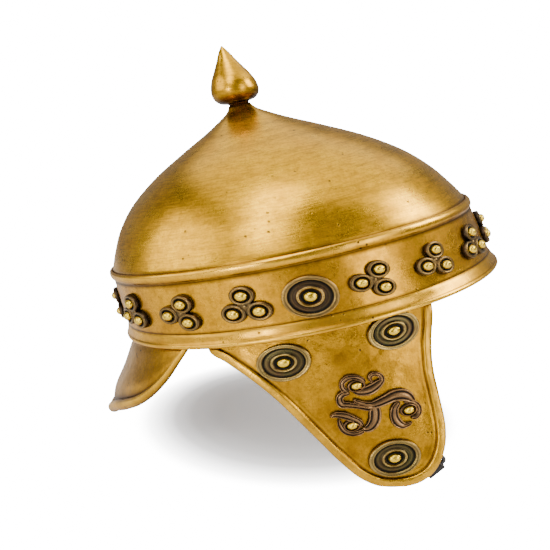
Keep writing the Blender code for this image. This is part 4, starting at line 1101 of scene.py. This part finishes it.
scroll = {
    "size": 0.0220,
    "relief": 0.0022,
    "arm": 0.0036,
    "stud": 0.0032,
    "place": (0.0233, -0.0471),
    "strokes": (     # across and down on an enlarged picture, and width share
        ((470, 490, 0.45), (560, 525, 0.45), (660, 535, 0.60), (740, 510, 0.75), (820, 470, 0.85),
         (900, 430, 0.95), (980, 415, 1.00), (1050, 430, 0.85), (1100, 470, 0.55), (1120, 500, 0.35)),
        ((440, 420, 0.35), (370, 430, 0.50), (330, 480, 0.60), (350, 540, 0.60), (430, 548, 0.50),
         (520, 550, 0.45), (620, 560, 0.60), (690, 560, 0.60)),
        ((690, 545, 0.60), (702, 595, 0.95), (705, 650, 1.00), (695, 710, 0.95), (655, 770, 0.80),
         (600, 800, 0.50), (575, 790, 0.30)),
        ((225, 690, 0.15), (290, 665, 0.45), (370, 665, 0.60), (450, 685, 0.55), (530, 720, 0.50),
         (580, 770, 0.40)),
        ((325, 700, 0.20), (340, 770, 0.45), (385, 835, 0.45), (465, 858, 0.40), (540, 840, 0.40),
         (590, 810, 0.40)),
        ((430, 415, 0.35), (370, 380, 0.45), (355, 320, 0.45), (400, 262, 0.45), (480, 243, 0.40),
         (550, 255, 0.40), (600, 290, 0.40)),
        ((470, 395, 0.50), (560, 395, 0.70), (650, 370, 0.85), (725, 320, 0.75), (775, 260, 0.45),
         (750, 212, 0.40), (695, 200, 0.35), (650, 225, 0.35), (650, 265, 0.30), (690, 285, 0.25)),
        ((960, 490, 0.40), (915, 560, 0.60), (910, 640, 0.75), (940, 710, 0.80), (1000, 745, 0.55),
         (1060, 730, 0.30), (1100, 700, 0.15)),
        ((1010, 500, 0.30), (1080, 490, 0.35), (1150, 520, 0.40), (1175, 580, 0.40), (1150, 640, 0.35),
         (1090, 665, 0.30))),
    "studs": ((-0.41, 0.60), (0.75, -0.30), (-0.70, -0.36)),     # along, up
    "pickedStuds": ((507, 335), (1062, 578), (465, 770)),        # the same three on that picture
    "steps": 56,
    "taper": 5,
    "step": 0.03,
    "section": (     # across share, relief share, wear and painted highlight, painted shade with the bronze's dark hollows
        # painted shade as a dark outline along both edges and in the grooves, together with the bronze's dark
        # hollows; wear and painted highlight on the ridges and the middle
        (-1.0, 0.0, 0, 1.0), (-0.99, 0.42, 0, 1.0), (-0.92, 0.82, 0.2, 0.6), (-0.84, 1.0, 1.0, 0),
        (-0.74, 0.94, 0.9, 0),
        (-0.62, 0.60, 0.0, 1.0), (-0.42, 0.62, 0.0, 0.8), (-0.15, 0.88, 0.75, 0), (0.15, 0.88, 0.75, 0),
        (0.42, 0.62, 0.0, 0.8), (0.62, 0.60, 0.0, 1.0), (0.74, 0.94, 0.9, 0), (0.84, 1.0, 1.0, 0),
        (0.92, 0.82, 0.2, 0.6), (0.99, 0.42, 0, 1.0), (1.0, 0.0, 0, 1.0)),
    "studProfile": (     # radius share, relief share, wear and painted highlight, painted shade with the bronze's dark hollows, stud
        # a dark dot on the stud's top; painted shade round the stud's foot and outer foot, together with the
        # bronze's dark hollows; wear and painted highlight on the ring
        (0.00, 1.52, 0, 1.0, 0), (0.035, 1.52, 0, 0.9, 0.1), (0.07, 1.55, 0, 0, 0.8), (0.25, 1.52, 0, 0, 1),
        (0.45, 1.42, 0, 0, 1), (0.65, 1.24, 0, 0, 1), (0.80, 1.02, 0, 0, 1), (0.90, 0.80, 0, 0, 1),
        (0.94, 0.60, 0, 0.3, 0.5), (0.98, 0.45, 0, 1, 0), (1.10, 0.42, 0, 1, 0), (1.20, 0.55, 0, 0.6, 0),
        (1.28, 0.78, 0.5, 0, 0), (1.36, 0.84, 0.6, 0, 0), (1.43, 0.70, 0.1, 0.5, 0), (1.50, 0.72, 0.3, 0, 0),
        (1.57, 0.55, 0.1, 0.3, 0), (1.60, 0.20, 0, 0.9, 0), (1.60, 0.0, 0, 1, 0), (0.0, 0.0, 0, 1, 0)),
}


def scrollStrokes():
    # the three studs give the way from the picked points to the ornament's own shares
    picked = np.array([(*p, 1) for p in scroll["pickedStuds"]], float)
    toShares = np.linalg.solve(picked, np.array(scroll["studs"]))
    for stroke in scroll["strokes"]:
        shares = [np.round(np.array((x, y, 1.0)) @ toShares, 2) for x, y, width in stroke]
        yield [(*share, width) for share, (x, y, width) in zip(shares, stroke)]


def scrollArm(points, lift):
    steps, size = scroll["steps"], scroll["size"]
    line = smoothLine([(a * size, u * size, 0, w) for a, u, w in points], steps)
    ahead = np.gradient(line[:, :2], axis=0)
    side = np.stack([ahead[:, 1], -ahead[:, 0]], -1)
    side /= np.linalg.norm(side, axis=1, keepdims=True)
    section = np.array(scroll["section"])
    fromEnd = np.minimum(np.arange(steps), np.arange(steps)[::-1])
    ends = np.clip(fromEnd / scroll["taper"], 0, 1) ** 0.5
    half = scroll["arm"] * line[:, 3] * (0.35 + 0.65 * ends)
    flat = line[:, None, :2] + side[:, None, :] * half[:, None, None] * section[None, :, 0, None]
    high = scroll["relief"] * section[None, :, 1] * (0.55 + 0.45 * ends)[:, None] * lift
    points = np.concatenate([flat, high[..., None]], -1).reshape(-1, 3)
    count = len(section)
    faces = sheetFaces(steps, count, closedColumns=True)
    for start in (0, (steps - 1) * count):
        for k in range(count // 2 - 1):
            faces.append((start + k, start + k + 1, start + count - 2 - k, start + count - 1 - k))
    return tidyMesh(makeMesh("arm", points, faces, {
        "wearAndHighlight": np.tile(section[:, 2], steps), "shadeAndPatina": np.tile(section[:, 3], steps),
        "stud": np.zeros(steps * count)}))


def buildScroll():
    parts = [scrollArm(arm, 1.0 - scroll["step"] * k) for k, arm in enumerate(scrollStrokes())]
    for along, up in scroll["studs"]:
        rows = scaledProfile(scroll["studProfile"], scroll["stud"], scroll["relief"])
        stud = turned(rows, scrollBronze, 48, ornament["guardOval"])
        stud.transform(Matrix.Translation((along * scroll["size"], up * scroll["size"], 0)))
        parts.append(tidyMesh(stud))
    mesh = wrapOn(joinMeshes(parts), onGuard, scroll["place"])
    addPair("triskele", mesh, scrollBronze, "triskele")


buildScroll()
print("triskeles built")


# Chin strap, buckle and rivets

strap = {
    "width": 0.0130,
    "leather": 0.0106,
    "wall": 0.0018,
    "gap": 0.0006,
    "fold": 0.0110,
    "stitches": {"Spacing": 0.0032, "Length": 0.0021, "Thread": 0.00028},
    "rivet": (0.266, 0.700),
    "onGuard": ((0.244, 0.655), (0.266, 0.700), (0.299, 0.772), (0.322, 0.820)),    # along, down
    "section": (     # across share, up share, worn edge, darker line along each stitch groove
        (-0.90, 1.0, 0, 0), (-0.80, 0.97, 0, 0.8), (-0.70, 1.0, 0, 0), (0.0, 1.0, 0, 0),
        (0.70, 1.0, 0, 0), (0.80, 0.97, 0, 0.8), (0.90, 1.0, 0, 0), (0.975, 0.72, 0.6, 0),
        (1.0, 0.0, 0.9, 0), (0.975, -0.72, 0.6, 0), (0.90, -1.0, 0, 0), (0.0, -1.0, 0, 0),
        (-0.90, -1.0, 0, 0), (-0.975, -0.72, 0.6, 0), (-1.0, 0.0, 0.9, 0), (-0.975, 0.72, 0.6, 0)),
    "stitchLine": 0.80,
    "route": (       # across, height, turned up, forward
        (0.03, 0.93, 0.25, 0.00), (0.07, 0.70, 0.21, 0.00), (0.12, 0.34, 0.12, 0.00),
        (0.17, 0.08, 0.03, 0.00),
        (0.24, 0.00, 0.00, 0.00), (0.36, 0.00, 0.00, 0.05), (0.50, 0.00, 0.00, 0.10),
        (0.64, 0.00, 0.00, 0.20),
        (0.76, 0.00, 0.00, 0.35), (0.84, 0.03, 0.02, 0.50), (0.90, 0.13, 0.10, 0.60),
        (0.95, 0.32, 0.18, 0.55),
        (0.985, 0.62, 0.24, 0.30)),
}

buckle = {
    "length": 0.0088,
    "bar": 0.0022,
    "turn": math.radians(48),
    "place": (0.361, 0.925),
}
buckle["inset"] = shell["sheet"] + strap["gap"] * 2 + strap["wall"] + shell["gap"] + buckle["bar"] / 2


def guardPoint(along, down, out, side=1):
    at = raisedOn(onGuard, np.array([guardShape["length"] * along]), np.array([-guardShape["drop"] * down]),
                  np.array([out]))[0]
    at[1] *= side
    return Vector(toWorld(at))


def strapLanding(side, across):
    lift = -shell["sheet"] - strap["gap"] - strap["wall"] / 2
    points, widths = [], []
    for along, down in strap["onGuard"]:
        face, point = guardPoint(along, down, 0.0, side), guardPoint(along, down, lift, side)
        normal = (face - point).normalized()
        points.append(point)
        widths.append(across - normal * across.dot(normal))
    return points, widths


def foldRound(bar, start, through, steps=10):
    radius = buckle["bar"] / 2 + shell["gap"] + strap["wall"] / 2
    turns = [math.pi * k / steps for k in range(steps + 1)]
    return [bar + (start * math.cos(t) + through * math.sin(t)) * radius for t in turns]


def strapMesh(name, line, widths, count):
    # a soft-edged leather ribbon with a crowned face
    rows = smoothLine([(*p, *w) for p, w in zip(line, widths)], count)
    path, across = rows[:, :3], rows[:, 3:]
    ahead = np.gradient(path, axis=0)
    ahead /= np.linalg.norm(ahead, axis=1, keepdims=True)
    across = across - ahead * np.sum(ahead * across, axis=1, keepdims=True)
    across /= np.linalg.norm(across, axis=1, keepdims=True)
    up = np.cross(ahead, across)
    half, wall = strap["leather"] / 2, strap["wall"] / 2
    section = strap["section"]
    points = [path[i] + across[i] * half * s[0] + up[i] * wall * s[1] for i in range(count) for s in section]
    faces = sheetFaces(count, len(section), closedColumns=True)
    faces.append(tuple(range(len(section))))
    faces.append(tuple(range((count - 1) * len(section), count * len(section))))
    mesh = tidyMesh(makeMesh(name, np.array(points), faces, {
        "wearAndHighlight": np.tile([s[2] for s in section], count), "shadeAndPatina": np.tile([s[3] for s in section], count)}))
    mesh.set_sharp_from_angle(angle=math.radians(50))
    edges = (-strap["stitchLine"], strap["stitchLine"])
    return mesh, [path + across * half * side + up * wall * 0.99 for side in edges]


def stitchMesh(lines):
    parts = []
    for line in lines:
        source = bpy.data.meshes.new("path")
        source.from_pydata([tuple(p) for p in line], [(i, i + 1) for i in range(len(line) - 1)], [])
        parts.append(bakeTree(stitchRow, source, waxedThread, strap["stitches"]))
    return tidyMesh(joinMeshes(parts), merge=0.0000001)


def buildStraps():
    turn = buckle["turn"]
    along = Vector((math.cos(turn), 0, -math.sin(turn)))
    across = Vector((-math.sin(turn), 0, -math.cos(turn)))
    left = Vector((0, 1, 0))
    centre = guardPoint(*buckle["place"], -buckle["inset"])
    reach = along * (buckle["length"] - buckle["bar"]) / 2
    line, widths = strapLanding(1, across)
    bend = foldRound(centre - reach, -left, along)
    line += bend + [bend[-1] - along * strap["fold"]]
    widths += [across] * (len(bend) + 1)
    mesh, lines = strapMesh("guardStrap", line, widths, 90)
    addPiece("guardStrap", mesh, strapLeather, ["guard_strap"])
    addPiece("guardStrapStitches", stitchMesh(lines), waxedThread, [])
    bend = foldRound(centre + reach, -along, -left)
    tail, start = bend[0] + left * strap["fold"], bend[-1]
    landing, landingWidths = strapLanding(-1, across)
    end = landing[-1]
    floor = strap["wall"] / 2 + shell["gap"] * 3
    crossing, turns = [], []
    for share, height, turnedUp, forward in strap["route"]:
        point = start.lerp(end, share)
        point.x += strap["width"] * forward
        nearer = start if share < 0.5 else end
        angle = math.pi * turnedUp
        point.z = max(floor + (nearer.z - floor) * height, floor + math.sin(angle) * strap["width"] / 2)
        crossing.append(point)
        turns.append(Vector((-math.cos(angle), 0, -math.sin(angle))))
    line = [tail] + bend + crossing + landing[::-1]
    widths = [across] * (len(bend) + 1) + turns + landingWidths[::-1]
    mesh, lines = strapMesh("chinStrap", line, widths, 220)
    addPiece("chinStrap", mesh, strapLeather, ["chin_strap"])
    addPiece("chinStrapStitches", stitchMesh(lines), waxedThread, [])
    return centre, along, across


def buildBuckle(centre, along, across):
    halfLong = (buckle["length"] - buckle["bar"]) / 2
    halfWide = (strap["width"] + buckle["bar"]) / 2 + shell["gap"]
    corner = buckle["bar"] * 0.75
    path = []
    for x, y, first in ((1, 1, 0), (-1, 1, 90), (-1, -1, 180), (1, -1, 270)):
        for a in np.radians(np.arange(first, first + 91, 15)):
            path.append(centre + along * (x * (halfLong - corner) + corner * math.cos(a))
                        + across * (y * (halfWide - corner) + corner * math.sin(a)))
    normal = along.cross(across).normalized()
    count = len(path)
    points = []
    for i in range(count):
        ahead = (path[(i + 1) % count] - path[i - 1]).normalized()
        out = ahead.cross(normal).normalized()
        for a in np.linspace(0, 2 * math.pi, 17)[:-1]:
            wide = abs(math.cos(a)) ** 0.7 * math.copysign(1, math.cos(a))
            deep = abs(math.sin(a)) ** 0.7 * math.copysign(1, math.sin(a))
            points.append(path[i] + out * wide * buckle["bar"] * 0.5 + normal * deep * buckle["bar"] * 0.46)
    mesh = tidyMesh(makeMesh("strapBuckle", np.array(points), sheetFaces(count, 16, True, True)))
    addPiece("strapBuckle", mesh, blackEnamel, ["strap_buckle"])


rivet = {
    "radius": 0.0032,
    "height": 0.0016,
    "profile": (     # radius share, height share, wear and painted highlight, painted shade
        # the dome's top lighter with wear and painted highlight; painted shade round its foot
        (0.0, 1.0, 0.3, 0), (0.25, 0.96, 0.3, 0), (0.5, 0.84, 0.2, 0), (0.72, 0.64, 0.1, 0),
        (0.88, 0.38, 0, 0),
        (0.97, 0.16, 0, 0.5), (1.0, 0.0, 0, 0.9), (0.0, 0.0, 0, 0.9)),
}


def buildRivets():
    lift = -shell["sheet"] - strap["gap"] - strap["wall"] - shell["gap"]
    for side, name in ((1, "Right"), (-1, "Left")):
        seat = guardPoint(*strap["rivet"], lift, side)
        deeper = guardPoint(*strap["rivet"], lift - 0.001, side)
        rows = scaledProfile(rivet["profile"], rivet["radius"], rivet["height"])
        mesh = turned(rows, bandBrass, 40)
        spin = Vector((0, 0, 1)).rotation_difference(deeper - seat).to_matrix().to_4x4()
        mesh.transform(Matrix.Translation(seat) @ spin)
        tidyMesh(mesh)
        addPiece("strapRivet" + name, mesh, bandBrass, ["strap_rivet_" + name.lower()])


buildBuckle(*buildStraps())
buildRivets()
print("straps, buckle and rivets built")


# Floor, light and camera

studio = {
    "floor": (0.80, 0.80, 0.81, 1),
    "white": (1.0, 1.0, 1.0, 1),
    "backGlow": 20.0,
    "floorGlow": 19.0,
    "front": 0.26,
    "behind": 0.30,
    "above": 0.35,
    "shade": (0.105, 0.110),
    "shadeEdge": (   # share of the way out, glow
        (0.0, 0.020), (0.26, 0.020), (0.345, 0.030), (0.40, 0.060), (0.435, 0.14), (0.46, 0.24),
        (0.485, 0.38), (0.52, 0.78), (0.57, 1.0)),
    "floorHalf": 9.0,
    "lens": 45.82,
    "sensor": 36.0,
    "camera": (-0.0232, -0.4683, 0.1020),    # from the rim's middle
    "lookDown": 11.1,
    "lights": (      # name, place, aim, size, energy, colour
        ("keyBox", (-0.36, -0.72, 1.27), (0, 0, 0.12), (0.50, 1.20), 10, (1.0, 0.97, 0.92)),
        ("lowStrip", (-0.62, -1.12, 0.24), (0, 0, 0.10), (0.22, 0.36), 5, (1.0, 0.97, 0.92)),
        ("leftBox", (-1.12, -0.36, 0.58), (0, 0, 0.12), (0.95, 0.80), 7, (1.0, 0.97, 0.92)),
        ("rightBox", (0.75, -0.95, 0.45), (0, 0, 0.12), (0.40, 0.90), 6, (1.0, 0.97, 0.92)),
        ("sideBox", (1.00, -0.10, 0.85), (0, 0, 0.12), (0.45, 0.60), 11, (1.0, 0.97, 0.92)),
        ("topFill", (0.0, 0.30, 1.50), (0, 0, 0), (2.2, 1.9), 18, (1.0, 1.0, 1.0)),
    ),
}


def glowMask(tree, vector):
    # camera-only glow, painted light: near 0 under the helmet, where its rendered shadow falls, rising in steps
    # that paint the shadow's soft edge, and 1 beyond it
    parts = addNode(tree, "ShaderNodeSeparateXYZ", (-1300, 300), {0: vector}).outputs
    x = mathNode(tree, "DIVIDE", (-1100, 400), parts["X"], studio["shade"][0])
    y = mathNode(tree, "DIVIDE", (-1100, 200), parts["Y"], studio["shade"][1])
    far = mathNode(tree, "ADD", (-800, 300), mathNode(tree, "MULTIPLY", (-950, 400), x, x),
                   mathNode(tree, "MULTIPLY", (-950, 200), y, y))
    out = mathNode(tree, "MULTIPLY", (-650, 300), mathNode(tree, "SQRT", (-720, 300), far), 0.5)
    return rampNode(tree, (-600, 300), out, studio["shadeEdge"])


def buildFloor():
    half = studio["floorHalf"]
    corners = [(-half, -half, 0), (half, -half, 0), (half, half, 0), (-half, half, 0)]
    mesh = makeMesh("floor", np.array(corners), [(0, 1, 2, 3)])
    floor = bpy.data.objects.new("floor", mesh)
    bpy.context.scene.collection.objects.link(floor)
    material, tree, shader, vector = newMaterial("paleFloor", studio["floor"], Roughness=0.8)
    seen = addNode(tree, "ShaderNodeLightPath", (-600, 600)).outputs["Is Camera Ray"]
    where = addNode(tree, "ShaderNodeTexCoord", (-1700, 500)).outputs["Object"]
    # the floor glows for the camera only: painted light that whitens it round the helmet and shapes its shadow's
    # edge
    glow = mathNode(tree, "MULTIPLY", (-300, 400), seen, glowMask(tree, where))
    feed(tree, shader, {
        "Emission Strength": mathNode(tree, "MULTIPLY", (-150, 400), glow, studio["floorGlow"]),
        "Emission Color": studio["white"]})
    mesh.materials.append(material)


def areaLight(name, place, aim, size, energy, colour):
    data = bpy.data.lights.new(name, "AREA")
    data.shape = "RECTANGLE"
    data.size, data.size_y = size
    data.energy = energy
    data.color = colour
    lamp = bpy.data.objects.new(name, data)
    bpy.context.scene.collection.objects.link(lamp)
    lamp.location = place
    lamp.rotation_euler = (Vector(aim) - Vector(place)).to_track_quat("-Z", "Y").to_euler()


def buildWorld():
    # dim in front and overhead, bright behind, white where the camera sees it
    world = bpy.data.worlds.new("studio")
    bpy.context.scene.world = world
    world.use_nodes = True
    tree = world.node_tree
    where = addNode(tree, "ShaderNodeTexCoord", (-1100, 0)).outputs["Generated"]
    parts = addNode(tree, "ShaderNodeSeparateXYZ", (-900, 0), {0: where}).outputs
    behind = addNode(tree, "ShaderNodeMapRange", (-700, 200), {
        "From Min": -0.45, "From Max": 0.55, "To Min": studio["front"], "To Max": studio["behind"],
        "Value": parts["Y"]}, interpolation_type="SMOOTHSTEP")
    above = addNode(tree, "ShaderNodeMapRange", (-700, -100), {
        "From Min": 0.25, "From Max": 0.80, "To Min": 1.0, "To Max": studio["above"],
        "Value": parts["Z"]}, interpolation_type="SMOOTHSTEP")
    soft = mathNode(tree, "MULTIPLY", (-500, 100), behind.outputs[0], above.outputs[0])
    seen = addNode(tree, "ShaderNodeLightPath", (-700, 450)).outputs["Is Camera Ray"]
    glow = mathNode(tree, "MULTIPLY", (-400, 400), seen, studio["backGlow"])
    feed(tree, tree.nodes["Background"], {
        "Strength": mathNode(tree, "MAXIMUM", (-200, 200), soft, glow), "Color": studio["white"]})


def buildStudio():
    buildFloor()
    buildWorld()
    for light in studio["lights"]:
        areaLight(*light)
    data = bpy.data.cameras.new("camera")
    data.lens = studio["lens"]
    data.sensor_width = studio["sensor"]
    camera = bpy.data.objects.new("camera", data)
    bpy.context.scene.collection.objects.link(camera)
    camera.location = Vector((stance["rimX"], 0, stance["rimZ"])) + Vector(studio["camera"])
    camera.rotation_euler = (math.radians(90 - studio["lookDown"]), 0, 0)
    bpy.context.scene.camera = camera


buildStudio()
print("studio ready")
